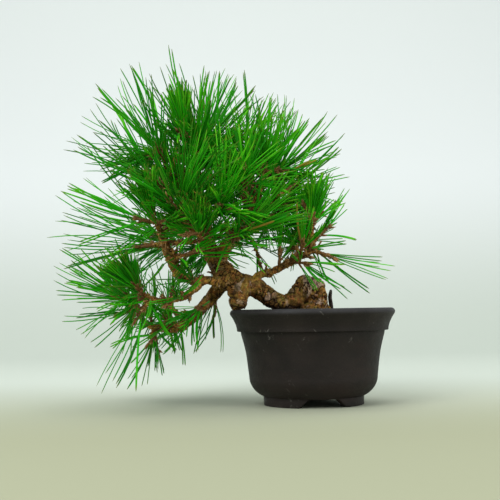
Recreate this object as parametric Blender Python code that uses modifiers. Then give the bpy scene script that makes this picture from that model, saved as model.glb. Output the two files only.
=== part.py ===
"""A small black pine bonsai in a round unglazed pot.

The tree leans and snakes to the left out of a knobbly rootstock, and its needle tufts make a wide crown.
The pot has a rolled lip, a stepped band under it and a ring foot cut by notches.
Inside are the drain mesh with its clip, a gravel layer and the soil.

Units are metres, +Z is up, and the viewer stands on the -Y side. While it is modelled, the pot's axis is
the Z axis. At the end everything is moved so that the object's box stands centred on the origin.
"""

import math
import random

import bmesh
import bpy
import numpy as np
from mathutils import Matrix, Vector

MM = 0.001

# ---- pot ----
POT_HEIGHT = 81.3 * MM
POT_RIM_RADIUS = 70.5 * MM  # the lip's widest point
POT_WALL = 5.0 * MM
LIP_ROLL_RADIUS = 3.2 * MM
BAND_HEIGHT = 19.3 * MM  # from the rim's top down to the step
BAND_INSET = 5.9 * MM  # how far the band's foot lies inside the lip
STEP_DEPTH = 2.9 * MM
BELLY_TAPER = 6.9 * MM  # the body's narrowing from the step to the turn of the belly
BELLY_HEIGHT = 24.0 * MM  # where the body turns in towards the foot
BELLY_TURN_DEG = 62.0  # how far round the belly turns before it meets the foot
FOOT_RADIUS = 42.8 * MM
FOOT_HEIGHT = 7.4 * MM
FOOT_WIDTH = 6.5 * MM
FOOT_NOTCHES = 3
NOTCH_FIRST_DEG = -82.0
NOTCH_TOP_WIDTH = 21.0 * MM
NOTCH_FLARE = 9.0 * MM  # how much wider the notch is at the table, on each side
FLOOR_THICKNESS = 6.0 * MM
DRAIN_RADIUS = 10.0 * MM
EDGE = 0.6 * MM  # the small flats that break sharp fired edges
POT_STEPS = 42

# ---- what the pot holds ----
GAP = 0.3 * MM  # between neighbouring solids
GRAVEL_DEPTH = 10.0 * MM
SOIL_BELOW_RIM = 8.0 * MM  # at the wall
SOIL_MOUND = 5.0 * MM  # rise from the wall to the trunk
MESH_OVERLAP = 2.2 * MM  # past the drain hole on each side
MESH_HOLES = 4  # along each side
MESH_THICKNESS = 1.2 * MM
CLIP_WIRE_RADIUS = 0.5 * MM
CLIP_REACH = 7.0 * MM  # each end, along the pot's underside
TIE_WIRE_RADIUS = 1.1 * MM
TIE_LOOP_RISE = 15.0 * MM  # above the rim's top
TIE_LOOP_SPAN = 17.0 * MM
TIE_CLEARANCE = 1.2 * MM  # from the rootstock to the loop
TIE_LEG_DEPTH = 20.0 * MM

# ---- tree ----
TREE_HEIGHT = 224.0 * MM  # from the rim's top to the highest needle
TREE_DRAWN_HEIGHT = 224.0  # the height, in millimetres, at which the lists below are drawn
NEEDLE_FACTOR = 1.0  # of each tuft's own needle length
NEEDLE_BASE_RADIUS = 1.25 * MM
NEEDLES_PER_TUFT = 27
NEEDLES_PER_WEAK_TUFT = 9
NEEDLE_FEET_SHARE = 0.15  # how much of a needle may crowd its sisters' feet
SHOOT_RADIUS = 2.3 * MM
SHOOT_LENGTH = 13.0 * MM
TWIG_RADIUS = 1.7 * MM
TWIG_TIP_RADIUS = 1.3 * MM
TRUNK_SIDES = 10
LIMB_SIDES = 8
TWIG_SIDES = 6
NEEDLE_TRIES = 14
SEED = 7

# Limbs, in millimetres from the middle of the rim's top: (x, y, z, radius).
LIMBS = {
    "trunk": [
        (5, 0, -34, 7), (4, 0, -22, 10), (2, 0, -8, 13), (0.5, 0, 4, 13.2), (-2, -1, 12, 12.6), (-9, -2, 12, 10.8),
        (-17, -3, 6.5, 8.6), (-25, -4, 4.8, 7.8), (-33, -6, 8, 7.8), (-41, -7.5, 13.5, 8.0), (-49, -9, 19, 8.8),
        (-56, -9, 21, 9.2), (-63, -8, 22, 9.4), (-70, -5, 25, 9.8), (-75, -1, 30.5, 9.8), (-79, 2, 38, 9.0),
        (-84, 3, 47, 7.8), (-90, 2, 58, 6.8), (-95, 0, 71, 5.9), (-99, -1, 87, 5.0), (-101, 0, 104, 4.1),
        (-104, 0, 122, 3.2), (-107, -2, 138, 2.4),
    ],
    "rim_lobe": [(-57, -10, 20, 8.6), (-60.5, -12, 14.5, 8.4), (-62.3, -13, 9, 8.0), (-62.8, -13, 5, 7.4),
                 (-62.9, -13, 2.4, 6.4), (-63, -13, 1.2, 4.6)],
    "root_right": [(4, -1, 4, 7.5), (12, -1, -2, 5.2), (21, -3, -8, 4), (31, -6, -15, 2.6)],
    "root_front": [(1, -5, 1, 7), (3, -15, -7, 5), (7, -27, -16, 3)],
    "root_back": [(0, 5, 1, 7), (-3, 17, -7, 5), (-8, 30, -17, 3)],
    "root_left": [(-19, -2, 4, 5.6), (-26, 8, -8, 4.2), (-35, 18, -17, 2.6)],
    "low_left": [
        (-73, -1, 24, 6.8), (-81, 4, 17.5, 6.2), (-90, 8, 7, 5.6), (-99, 9, -2.5, 4.9), (-107, 9, -9.5, 4.5),
        (-114, 8, -14, 4.1), (-122, 6, -15.5, 3.4), (-131, 4, -14.5, 3.0), (-140, 2, -12, 2.8), (-148, 0, -4, 2.4),
    ],
    "golden_upper": [
        (-73, -4, 27, 4.6), (-83, -11, 25, 4.0), (-94, -16, 25, 3.8), (-105, -20, 26.5, 3.5), (-111, -22, 31, 3.4),
        (-117, -24, 40, 3.2), (-122, -25, 50, 3.0), (-125, -26, 60, 2.7), (-128, -26, 69, 2.4),
    ],
    "golden_lower": [
        (-91, -15, 25, 3.2), (-99, -21, 18.5, 3.0), (-108, -26, 11.5, 2.8), (-118, -31, 8.7, 2.6),
        (-130, -35, 8.5, 2.3),
    ],
    "right_arm": [
        (-50, -9, 21, 4.4), (-45, -11, 28, 3.7), (-37, -12, 31.5, 3.3), (-28, -11, 34.5, 3.2), (-20, -10, 38.5, 3.1),
        (-13, -9, 43, 3.0), (-6, -8, 46, 2.8), (1, -7, 49.5, 2.5),
    ],
    "right_leader": [
        (-80, 3, 40, 6.4), (-75, -2, 51, 6.0), (-67, -6, 61, 5.4), (-58, -8, 71, 4.8), (-51, -8, 83, 4.1),
        (-46, -7, 95, 3.4), (-42, -6, 108, 2.6),
    ],
    "right_shelf": [(-57, -8, 73, 3.6), (-47, -3, 81, 3.2), (-38, 1, 88, 2.9), (-28, 3, 95, 2.4)],
    "left_shelf": [(-94, 0, 68, 3.8), (-105, -3, 71, 3.2), (-116, -6, 73, 2.8), (-124, -7, 75, 2.3)],
    "upper_left": [(-99, -1, 88, 3.4), (-109, 1, 100, 3.0), (-118, 4, 112, 2.6), (-125, 5, 122, 2.2)],
    "front_spur": [(-91, 1, 60, 4.0), (-91, -14, 62, 3.3), (-92, -30, 63, 2.8), (-92, -44, 63, 2.3)],
    "back_spur": [(-86, 4, 51, 4.2), (-88, 20, 56, 3.5), (-89, 38, 62, 2.9), (-90, 54, 67, 2.3)],
    "back_right": [(-70, -5, 58, 3.8), (-61, 12, 68, 3.2), (-52, 28, 76, 2.8), (-44, 42, 83, 2.3)],
}

# Knots and swellings on the old wood: (limb, x, y, z, radius), in the same millimetres.
KNOTS = [
    (3, -5, 19, 9.0), (-5, -4, 20.5, 8.4), (4, 1, 9, 8.4), (-45, -13, 16, 5.4), (-55, -13, 23, 6.2), (-67, -8, 28, 7.2),
    (-79, -3, 34, 6.2), (-61, -15, 13, 4.8), (-112, 8, -13, 5.2), (-16, -8, 9, 5.4), (-1, -6, 14, 10.0),
]

# Needle tufts: name, limb they grow from, place, aim, needle length and spread in degrees.
TUFTS = [
    ("apex_front", "trunk", (-108, -9, 152), (-0.10, -0.25, 1.0), 46, 38),
    ("apex_mid", "trunk", (-98, -6, 134), (0.05, -0.05, 1.0), 84, 44),
    ("apex_back", "trunk", (-93, 24, 146), (0.12, 0.35, 1.0), 74, 40),
    ("crown_left_a", "upper_left", (-129, -6, 136), (-0.62, -0.15, 0.86), 77, 40),
    ("crown_left_b", "upper_left", (-139, 20, 124), (-0.85, 0.45, 0.55), 72, 40),
    ("crown_left_c", "upper_left", (-127, -28, 106), (-0.78, -0.45, 0.55), 80, 38),
    ("crown_left_back", "upper_left", (-118, 40, 128), (-0.4, 0.75, 0.7), 66, 42),
    ("left_fan", "golden_upper", (-131, -42, 78), (-0.25, -0.45, 1.0), 44, 38),
    ("left_long_a", "left_shelf", (-137, -12, 76), (-1.0, -0.2, 0.22), 84, 30),
    ("left_long_b", "left_shelf", (-130, 18, 66), (-1.0, 0.45, 0.05), 88, 34),
    ("left_long_c", "golden_upper", (-134, -24, 55), (-1.0, -0.3, -0.12), 88, 28),
    ("low_fan_a", "low_left", (-155, -10, 9), (-1.0, -0.1, 0.30), 68, 36),
    ("low_fan_b", "golden_lower", (-143, -38, 17), (-0.6, -0.45, 0.75), 46, 38),
    ("low_fan_c", "low_left", (-157, 9, 1), (-1.0, 0.25, -0.35), 66, 34),
    ("low_sweep", "golden_lower", (-139, -46, 3), (-0.55, -0.25, -0.85), 82, 22),
    ("low_under", "low_left", (-136, 12, -23), (0.18, 0.1, -1.0), 34, 40),
    ("low_fan_back", "low_left", (-152, 30, 17), (-0.75, 0.6, 0.5), 60, 38),
    ("low_back", "low_left", (-128, 44, 6), (-0.35, 1.0, 0.1), 58, 40),
    ("front_fan", "front_spur", (-93, -62, 62), (-0.10, -0.75, 0.85), 40, 42),
    ("front_up", "front_spur", (-108, -53, 82), (0.35, -0.5, 0.85), 70, 30),
    ("front_right", "golden_upper", (-103, -46, 46), (0.85, -0.35, 0.2), 46, 32),
    ("middle_a", "front_spur", (-77, -42, 88), (0.35, -0.45, 0.9), 62, 38),
    ("middle_b", "right_leader", (-62, -40, 62), (0.75, -0.5, 0.5), 62, 34),
    ("upper_a", "trunk", (-76, 0, 126), (0.1, -0.05, 1.0), 72, 40),
    ("upper_b", "right_leader", (-55, -28, 104), (0.0, -0.4, 1.0), 50, 38),
    ("upper_c", "right_leader", (-56, 22, 126), (0.15, 0.3, 1.0), 74, 40),
    ("upper_d", "right_leader", (-40, -10, 120), (0.12, -0.15, 1.0), 56, 38),
    ("right_a", "right_leader", (-30, 10, 114), (0.60, 0.15, 0.95), 66, 36),
    ("right_b", "right_shelf", (-22, -13, 99), (0.9, -0.25, 0.6), 58, 34),
    ("right_c", "right_shelf", (-24, 18, 90), (1.0, 0.35, 0.3), 52, 36),
    ("arm_fan", "right_arm", (1, -14, 74), (0.1, -0.2, 1.0), 46, 38),
    ("arm_out", "right_arm", (7, 2, 62), (0.75, 0.15, 0.65), 44, 40),
    ("arm_low", "right_arm", (8, -10, 47), (0.92, -0.2, -0.40), 64, 20),
    ("arm_back", "right_arm", (-8, 16, 60), (-0.35, 0.7, 0.6), 48, 42),
    ("under_left", "low_left", (-84, 30, 8), (-0.05, 0.3, -1.0), 48, 34),
    ("under_middle", "right_leader", (-46, 26, 50), (0.15, 0.6, -0.75), 50, 40),
    ("back_up", "back_spur", (-96, 62, 92), (-0.1, 0.75, 0.75), 60, 42),
    ("back_low", "back_spur", (-86, 72, 58), (0.05, 1.0, 0.0), 54, 44),
    ("back_left", "back_spur", (-122, 54, 62), (-0.75, 0.75, 0.1), 62, 40),
    ("back_crown", "back_right", (-58, 58, 108), (0.1, 0.7, 0.8), 58, 42),
    ("back_right", "back_right", (-33, 48, 84), (0.5, 0.8, 0.25), 48, 42),
]
WEAK_TUFTS = ("arm_low", "low_under", "under_left", "under_middle")


# ---------------------------------------------------------------------------------------------------------
# helpers
# ---------------------------------------------------------------------------------------------------------


def clear_scene():
    for obj in list(bpy.data.objects):
        bpy.data.objects.remove(obj, do_unlink=True)


def new_collection(name):
    collection = bpy.data.collections.new(name)
    bpy.context.scene.collection.children.link(collection)
    return collection


def material(name, color, roughness, metallic=0.0):
    made = bpy.data.materials.new(name)
    made.use_nodes = True
    shader = made.node_tree.nodes["Principled BSDF"]
    shader.inputs["Base Color"].default_value = (*color, 1.0)
    shader.inputs["Roughness"].default_value = roughness
    shader.inputs["Metallic"].default_value = metallic
    return made


def add_object(name, data, collection, look=None):
    obj = bpy.data.objects.new(name, data)
    collection.objects.link(obj)
    if look is not None:
        data.materials.append(look)
    return obj


def make_cutter(obj):
    obj.hide_render = True
    obj.display_type = "WIRE"


def baked_mesh(obj):
    """A new mesh of the object as the viewport evaluates it, in world space, with a curve's caps welded."""
    bpy.context.view_layer.update()
    graph = bpy.context.evaluated_depsgraph_get()
    mesh = bpy.data.meshes.new_from_object(obj.evaluated_get(graph))
    mesh.transform(obj.matrix_world)
    shape = bmesh.new()
    shape.from_mesh(mesh)
    bmesh.ops.remove_doubles(shape, verts=shape.verts, dist=0.01 * MM)
    bmesh.ops.delete(shape, geom=[vert for vert in shape.verts if not vert.link_faces], context="VERTS")
    bmesh.ops.recalc_face_normals(shape, faces=shape.faces)
    shape.to_mesh(mesh)
    shape.free()
    return mesh


def arc(centre, radii, start_deg, end_deg, steps):
    """Points of an arc in a profile's (radius, height) plane."""
    angles = [math.radians(start_deg + (end_deg - start_deg) * i / steps) for i in range(steps + 1)]
    return [(centre[0] + radii[0] * math.cos(a), centre[1] + radii[1] * math.sin(a)) for a in angles]


def turned(name, profile, collection, look, closed):
    """A solid of revolution. A closed profile is a loop; an open one starts and ends on the axis."""
    shape = bmesh.new()
    points = [shape.verts.new((radius, 0.0, height)) for radius, height in profile]
    pairs = list(zip(points, points[1:]))
    if closed:
        pairs.append((points[-1], points[0]))
    for a, b in pairs:
        shape.edges.new((a, b))
    mesh = bpy.data.meshes.new(name)
    shape.to_mesh(mesh)
    shape.free()
    obj = add_object(name, mesh, collection, look)
    screw = obj.modifiers.new("turn", "SCREW")
    screw.axis = "Z"
    screw.steps = POT_STEPS
    screw.render_steps = POT_STEPS
    screw.use_merge_vertices = True
    screw.merge_threshold = 0.01 * MM
    screw.use_smooth_shade = True
    return obj


def smooth_line(points, steps):
    """A Catmull-Rom line through points of any dimension, with this many steps between each two."""
    rows = np.array(points, float)
    rows = np.vstack([2 * rows[0] - rows[1], rows, 2 * rows[-1] - rows[-2]])
    line = []
    for a, b, c, d in zip(rows, rows[1:], rows[2:], rows[3:]):
        for t in np.linspace(0, 1, steps, endpoint=False):
            line.append(0.5 * (2 * b + (c - a) * t + (2 * a - 5 * b + 4 * c - d) * t**2
                               + (3 * b - a - 3 * c + d) * t**3))
    return np.array([*line, rows[-2]])


def tube(name, line, sides, collection):
    """A curve tube along rows of (x, y, z, radius) in metres."""
    curve = bpy.data.curves.new(name, "CURVE")
    curve.dimensions = "3D"
    curve.bevel_depth = MM
    curve.bevel_resolution = sides // 2 - 2
    curve.use_fill_caps = True
    spline = curve.splines.new("POLY")
    spline.points.add(len(line) - 1)
    for point, row in zip(spline.points, line):
        point.co = (*row[:3], 1.0)
        point.radius = row[3] / MM
    return add_object(name, curve, collection)


def cut(obj, cutter):
    boolean = obj.modifiers.new("cut", "BOOLEAN")
    boolean.operation = "DIFFERENCE"
    boolean.object = cutter
    return boolean


# ---------------------------------------------------------------------------------------------------------
# pot
# ---------------------------------------------------------------------------------------------------------

BAND_FOOT_RADIUS = POT_RIM_RADIUS - BAND_INSET
BODY_TOP_RADIUS = BAND_FOOT_RADIUS - STEP_DEPTH
BODY_TOP_HEIGHT = POT_HEIGHT - BAND_HEIGHT
BELLY_RADIUS = BODY_TOP_RADIUS - BELLY_TAPER
INSIDE_FLOOR = FOOT_HEIGHT + FLOOR_THICKNESS
MESH_SIDE = 2 * (DRAIN_RADIUS + MESH_OVERLAP)
ROLL_RADIUS_PLACE = POT_RIM_RADIUS - LIP_ROLL_RADIUS
ROLL_HEIGHT_PLACE = POT_HEIGHT - LIP_ROLL_RADIUS
SCALE = TREE_HEIGHT / (TREE_DRAWN_HEIGHT * MM)


def body_side(inset, foot_height, steps):
    """The body from the step down round the belly, moved in by a wall. It ends at the foot's height."""
    top = BODY_TOP_RADIUS - inset
    turn = BELLY_RADIUS - inset
    middle = top * 0.40 + turn * 0.60
    bend = math.radians(BELLY_TURN_DEG)
    across = (turn - (FOOT_RADIUS - inset)) / (1 - math.cos(bend))
    down = (BELLY_HEIGHT - foot_height) / math.sin(bend)
    belly = arc((turn - across, BELLY_HEIGHT), (across, down), 0, -BELLY_TURN_DEG, steps)
    return [(top, BODY_TOP_HEIGHT), (middle, (BODY_TOP_HEIGHT * 0.55 + BELLY_HEIGHT * 0.45)), *belly]


def inner_side():
    """The inside, from the rim down to the floor, as (radius, height)."""
    lip = (ROLL_RADIUS_PLACE - 2.4 * MM, POT_HEIGHT - 0.9 * MM)
    throat = (BAND_FOOT_RADIUS - POT_WALL - 1.2 * MM, POT_HEIGHT - 7.0 * MM)
    return [lip, throat] + body_side(POT_WALL, INSIDE_FLOOR, 4)


def build_pot(collection, cutters, look):
    roll = arc((ROLL_RADIUS_PLACE, ROLL_HEIGHT_PLACE), (LIP_ROLL_RADIUS, LIP_ROLL_RADIUS), 100, -40, 6)
    band_run = roll[-1][0] - BAND_FOOT_RADIUS
    band_fall = roll[-1][1] - (BODY_TOP_HEIGHT + 2 * EDGE)
    band = [
        (BAND_FOOT_RADIUS + band_run * (1 - share) ** 1.7, roll[-1][1] - band_fall * share)
        for share in (0.25, 0.5, 0.75, 1.0)
    ]
    step = [(BAND_FOOT_RADIUS - EDGE, BODY_TOP_HEIGHT + EDGE), (BODY_TOP_RADIUS, BODY_TOP_HEIGHT + 0.3 * EDGE)]
    foot = [
        (FOOT_RADIUS, FOOT_HEIGHT - 2 * EDGE), (FOOT_RADIUS, EDGE), (FOOT_RADIUS - EDGE, 0.0),
        (FOOT_RADIUS - FOOT_WIDTH + EDGE, 0.0), (FOOT_RADIUS - FOOT_WIDTH, EDGE),
        (FOOT_RADIUS - FOOT_WIDTH, FOOT_HEIGHT),
    ]
    drain = [
        (DRAIN_RADIUS + EDGE, FOOT_HEIGHT), (DRAIN_RADIUS, FOOT_HEIGHT + EDGE),
        (DRAIN_RADIUS, INSIDE_FLOOR - EDGE), (DRAIN_RADIUS + EDGE, INSIDE_FLOOR),
    ]
    profile = roll + band + step + body_side(0.0, FOOT_HEIGHT, 6)[1:] + foot + drain + inner_side()[::-1]
    pot = turned("pot", profile, collection, look, closed=True)
    for i in range(FOOT_NOTCHES):
        cut(pot, notch_cutter(cutters, math.radians(NOTCH_FIRST_DEG + 360.0 * i / FOOT_NOTCHES), i))
    return pot


def notch_cutter(cutters, angle, number):
    """A wedge, wider at the table, that cuts one notch through the ring foot."""
    over = 1.0 * MM
    depth = FOOT_WIDTH + 8.0 * MM
    top, low = FOOT_HEIGHT, -over
    half_low = NOTCH_TOP_WIDTH / 2 + NOTCH_FLARE * (1 + over / FOOT_HEIGHT)
    shape = bmesh.new()
    bmesh.ops.create_cube(shape, size=1.0)
    for vert in shape.verts:
        half = NOTCH_TOP_WIDTH / 2 if vert.co.z > 0 else half_low
        vert.co = Vector((FOOT_RADIUS - FOOT_WIDTH / 2 + vert.co.x * depth, 2 * vert.co.y * half,
                          top if vert.co.z > 0 else low))
    mesh = bpy.data.meshes.new(f"notch_cutter_{number}")
    shape.to_mesh(mesh)
    shape.free()
    obj = add_object(mesh.name, mesh, cutters)
    obj.rotation_euler = (0, 0, angle)
    make_cutter(obj)
    return obj


def pot_radius_at(height):
    """The pot's outer radius at a height, on the generous side."""
    if height > BODY_TOP_HEIGHT:
        return POT_RIM_RADIUS
    share = max(0.0, min(1.0, height / BODY_TOP_HEIGHT))
    return BELLY_RADIUS * (1 - share) + BAND_FOOT_RADIUS * share


# ---------------------------------------------------------------------------------------------------------
# what the pot holds
# ---------------------------------------------------------------------------------------------------------


def inner_radius_at(height):
    side = sorted(((h, r) for r, h in inner_side()))
    return float(np.interp(height, [h for h, _ in side], [r for _, r in side]))


def build_gravel(collection, look):
    """The coarse layer over the drain, hollowed underneath for the mesh and its clip."""
    low = INSIDE_FLOOR + GAP
    top = low + GRAVEL_DEPTH
    recess = MESH_SIDE * 0.5 * math.sqrt(2) + 2 * GAP
    recess_top = low + MESH_THICKNESS + 2 * CLIP_WIRE_RADIUS + 3 * GAP
    heights = [top, (top + low) / 2, low + 2 * EDGE]
    wall = [(inner_radius_at(h) - 2 * GAP, h) for h in heights]
    foot = min(wall[-1][0] - 6 * EDGE, inner_radius_at(low) - 2 * GAP)
    profile = [(0.0, top), *wall, (foot, low), (recess, low), (recess, recess_top), (0.0, recess_top)]
    return turned("drainage_gravel", profile, collection, look, closed=False)


def soil_height(radius):
    share = min(1.0, radius / (POT_RIM_RADIUS * 0.8))
    return POT_HEIGHT - SOIL_BELOW_RIM + SOIL_MOUND * 0.5 * (1 + math.cos(math.pi * share))


def build_soil(collection, look):
    low = INSIDE_FLOOR + GAP + GRAVEL_DEPTH + GAP
    edge_height = POT_HEIGHT - SOIL_BELOW_RIM
    edge_radius = inner_radius_at(edge_height) - 2 * GAP
    rings = [edge_radius * share for share in (0.0, 0.2, 0.4, 0.6, 0.8, 1.0)]
    top = [(radius, soil_height(radius)) for radius in rings]
    wall_heights = np.linspace(edge_height, low, 6)[1:]
    wall = [(inner_radius_at(h) - 2 * GAP, float(h)) for h in wall_heights]
    return turned("soil", top + wall + [(0.0, low)], collection, look, closed=False)


def build_drain_mesh(collection, look):
    """A square plastic screen with a grid of openings, lying over the drain hole."""
    cells = 2 * MESH_HOLES + 1
    shape = bmesh.new()
    bmesh.ops.create_grid(shape, x_segments=cells, y_segments=cells, size=MESH_SIDE / 2)
    step = MESH_SIDE / cells
    openings = [
        face for face in shape.faces
        if all(int((c + MESH_SIDE / 2) // step) % 2 == 1 for c in face.calc_center_median()[:2])
    ]
    bmesh.ops.delete(shape, geom=openings, context="FACES")
    mesh = bpy.data.meshes.new("drain_mesh")
    shape.to_mesh(mesh)
    shape.free()
    screen = add_object("drain_mesh", mesh, collection, look)
    screen.location.z = INSIDE_FLOOR + GAP
    solid = screen.modifiers.new("thickness", "SOLIDIFY")
    solid.thickness = MESH_THICKNESS
    solid.offset = 1.0
    return screen


def build_clip(collection, look):
    """The wire that holds the mesh: over it, down through two openings and out under the pot's floor."""
    step = MESH_SIDE / (2 * MESH_HOLES + 1)
    leg = step * (MESH_HOLES - 1)
    side = step
    over = INSIDE_FLOOR + GAP + MESH_THICKNESS + GAP + CLIP_WIRE_RADIUS
    under = FOOT_HEIGHT - GAP - CLIP_WIRE_RADIUS
    bend = 1.2 * MM
    half = [(0, over), (leg - bend, over), (leg, over - bend), (leg, under + bend), (leg + bend, under),
            (leg + CLIP_REACH, under)]
    path = [(-x, z) for x, z in half[:0:-1]] + half
    line = [(x, side, z, CLIP_WIRE_RADIUS) for x, z in path]
    clip = tube("mesh_clip", line, 8, collection)
    clip.data.materials.append(look)
    return clip


def tie_line(radius):
    """The tie wire's loop beside the right of the rootstock, as tube rows."""
    half = TIE_LOOP_SPAN / 2
    flank = max(row[0] + row[3] for row in LIMBS["trunk"]) * MM * SCALE
    offset = flank + TIE_CLEARANCE + TIE_WIRE_RADIUS
    rise = [(-half, -TIE_LEG_DEPTH), (-half, -TIE_LEG_DEPTH / 2), (-half, 0.0)]
    crown = arc((0.0, TIE_LOOP_RISE - half), (half, half), 180, 0, 8)
    shape = rise + crown + [(half, 0.0), (half, -TIE_LEG_DEPTH / 2), (half, -TIE_LEG_DEPTH)]
    return [(offset, y, POT_HEIGHT + z, radius) for y, z in shape]


def build_tie_wire(collection, look):
    wire = tube("tie_wire", tie_line(TIE_WIRE_RADIUS), 8, collection)
    wire.data.materials.append(look)
    return wire


# ---------------------------------------------------------------------------------------------------------
# wood
# ---------------------------------------------------------------------------------------------------------

def tree_point(place):
    """A place from the tree's lists, in metres in the pot's frame."""
    x, y, z = (value * MM * SCALE for value in place[:3])
    return np.array((x, y, z + POT_HEIGHT))


def limb_line(name):
    rows = [(*tree_point(row), row[3] * MM * SCALE) for row in LIMBS[name]]
    return smooth_line(rows, 2)


def twig_line(tuft):
    """A twig from the nearest suitable point of its limb to the tuft, arriving along the tuft's aim."""
    _, limb, place, aim, _, _ = tuft
    end = tree_point(place)
    aim = np.array(Vector(aim).normalized())
    line = limb_line(limb)
    tail = line[len(line) // 3:-1] if limb in ("trunk", "right_leader") else line[:-1]
    root = tail[np.argmin(np.linalg.norm(tail[:, :3] - (end - aim * 12 * MM * SCALE), axis=1))]
    reach = float(np.linalg.norm(end - root[:3]))
    bend = end - aim * reach * 0.45
    rows = []
    for t in np.linspace(0, 1, 4 if reach > 15 * MM else 3):
        spot = (1 - t) ** 2 * root[:3] + 2 * t * (1 - t) * bend + t**2 * end
        rows.append((*spot, TWIG_RADIUS * (1 - t) + TWIG_TIP_RADIUS * t))
    return np.array(rows)


def joined(name, pieces, collection, look):
    """One solid of overlapping tube and lump meshes."""
    first, *rest = pieces
    obj = add_object(name, first, collection, look)
    holder = bpy.data.collections.new(name + "_pieces")
    others = [add_object(f"{name}_piece_{i}", mesh, holder) for i, mesh in enumerate(rest)]
    bpy.context.scene.collection.children.link(holder)
    union = obj.modifiers.new("join", "BOOLEAN")
    union.operation = "UNION"
    union.operand_type = "COLLECTION"
    union.collection = holder
    mesh = baked_mesh(obj)
    obj.modifiers.remove(union)
    obj.data = mesh
    for other in others:
        bpy.data.objects.remove(other)
    bpy.data.collections.remove(holder)
    return obj


def grown(line, extra):
    """The same tube rows with this much more all round, and past both ends."""
    line[:, 3] += extra
    for end, inner in ((0, 1), (-1, -2)):
        along = line[end, :3] - line[inner, :3]
        line[end, :3] += along / np.linalg.norm(along) * extra
    return line


def tube_mesh(line, sides):
    obj = tube("draft", line, sides, bpy.context.scene.collection)
    mesh = baked_mesh(obj)
    bpy.data.objects.remove(obj)
    return mesh


def lump_mesh(place, radius):
    shape = bmesh.new()
    bmesh.ops.create_icosphere(shape, subdivisions=2, radius=radius)
    bmesh.ops.translate(shape, verts=shape.verts, vec=place)
    mesh = bpy.data.meshes.new("lump")
    shape.to_mesh(mesh)
    shape.free()
    return mesh


def wood_pieces(extra, names, with_twigs):
    """Tube and lump meshes of the named limbs, each grown by extra all round."""
    pieces = []
    for name in names:
        line = grown(limb_line(name), extra)
        pieces.append(tube_mesh(line, TRUNK_SIDES if name == "trunk" else LIMB_SIDES))
    for x, y, z, radius in KNOTS:
        pieces.append(lump_mesh(Vector(tree_point((x, y, z))), radius * MM * SCALE + extra))
    if with_twigs:
        pieces.extend(tube_mesh(twig_line(tuft), TWIG_SIDES) for tuft in TUFTS)
    return pieces


def build_wood(collection, look):
    return joined("trunk_and_branches", wood_pieces(0.0, LIMBS, True), collection, look)


def cut_soil(soil, cutters):
    """Hollows the soil for the rootstock and the tie wire, a gap wider than they are."""
    in_soil = [name for name in LIMBS if name == "trunk" or name.startswith("root")]
    room = joined("root_room", wood_pieces(GAP, in_soil, False), cutters, None)
    make_cutter(room)
    cut(soil, room)
    wire_room = add_object("wire_room", tube_mesh(grown(np.array(tie_line(TIE_WIRE_RADIUS)), GAP), 8), cutters)
    make_cutter(wire_room)
    cut(soil, wire_room)


# ---------------------------------------------------------------------------------------------------------
# needles
# ---------------------------------------------------------------------------------------------------------


def closest(p, q, starts, ends):
    """For the segment p-q and many others: the distances, and how far along each the nearest points lie."""
    d1 = q - p
    d2 = ends - starts
    r = p - starts
    a = d1 @ d1
    e = np.maximum((d2 * d2).sum(1), 1e-18)
    f = (d2 * r).sum(1)
    c = r @ d1
    b = d2 @ d1
    det = a * e - b * b
    s = np.clip(np.where(det > 1e-18, (b * f - c * e) / np.where(det > 1e-18, det, 1), 0), 0, 1)
    t = np.clip((b * s + f) / e, 0, 1)
    s = np.clip((b * t - c) / a, 0, 1)
    apart = (p + s[:, None] * d1) - (starts + t[:, None] * d2)
    return np.linalg.norm(apart, axis=1), s, t


class Obstacles:
    """Tapered rods that a new needle has to clear. Rods of one owner may touch each other."""

    def __init__(self):
        self.rows = []
        self.owners = []

    def add(self, owner, start, end, start_radius, end_radius):
        self.rows.append((*start, *end, start_radius, end_radius))
        self.owners.append(owner)

    def settle(self):
        self.table = np.array(self.rows)
        self.names = np.array(self.owners)

    def clear(self, owner, start, end, start_radius):
        rows = self.table[self.names != owner]
        gap, s, t = closest(start, end, rows[:, 0:3], rows[:, 3:6])
        need = start_radius * (1 - s) + rows[:, 6] * (1 - t) + rows[:, 7] * t + GAP
        return bool((gap > need).all())


def clears_pot(start, end):
    for share in np.linspace(0, 1, 12):
        x, y, z = start + (end - start) * share
        if z < 4 * MM:
            return False
        if z < POT_HEIGHT + 3 * MM and math.hypot(x, y) < pot_radius_at(z) + 3 * MM:
            return False
    return True


def shoot_frame(tuft):
    """The tuft's base, its aim, and two directions across it."""
    _, _, place, aim, _, _ = tuft
    aim = Vector(aim).normalized()
    across = aim.orthogonal().normalized()
    base = Vector(tree_point(place)) + aim * GAP
    return base, aim, across, aim.cross(across)


def shoot_core(tuft):
    """A slim closed core along the shoot, whose faces the needles grow from."""
    base, aim, across, other = shoot_frame(tuft)
    shape = bmesh.new()
    bmesh.ops.create_icosphere(shape, subdivisions=2, radius=1.0)
    turn = Matrix((across, other, aim)).transposed()
    for vert in shape.verts:
        local = Vector((vert.co.x * SHOOT_RADIUS, vert.co.y * SHOOT_RADIUS, vert.co.z * SHOOT_LENGTH / 2))
        vert.co = base + aim * (SHOOT_LENGTH / 2) + turn @ local
    return shape


def tuft_faces(shape, tuft, rng):
    """The faces that get a needle, evenly picked, each with its polar share and its direction across."""
    base, aim, _, _ = shoot_frame(tuft)
    middle = base + aim * (SHOOT_LENGTH / 2)
    found = []
    for face in shape.faces:
        away = face.calc_center_median() - middle
        along = away.dot(aim) / (SHOOT_LENGTH / 2)
        if along > -0.55:
            across = away - aim * away.dot(aim)
            found.append((face, math.acos(max(-1.0, min(1.0, along))) / math.radians(125), across.normalized()))
    rng.shuffle(found)
    return found[:NEEDLES_PER_WEAK_TUFT if tuft[0] in WEAK_TUFTS else NEEDLES_PER_TUFT]


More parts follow.
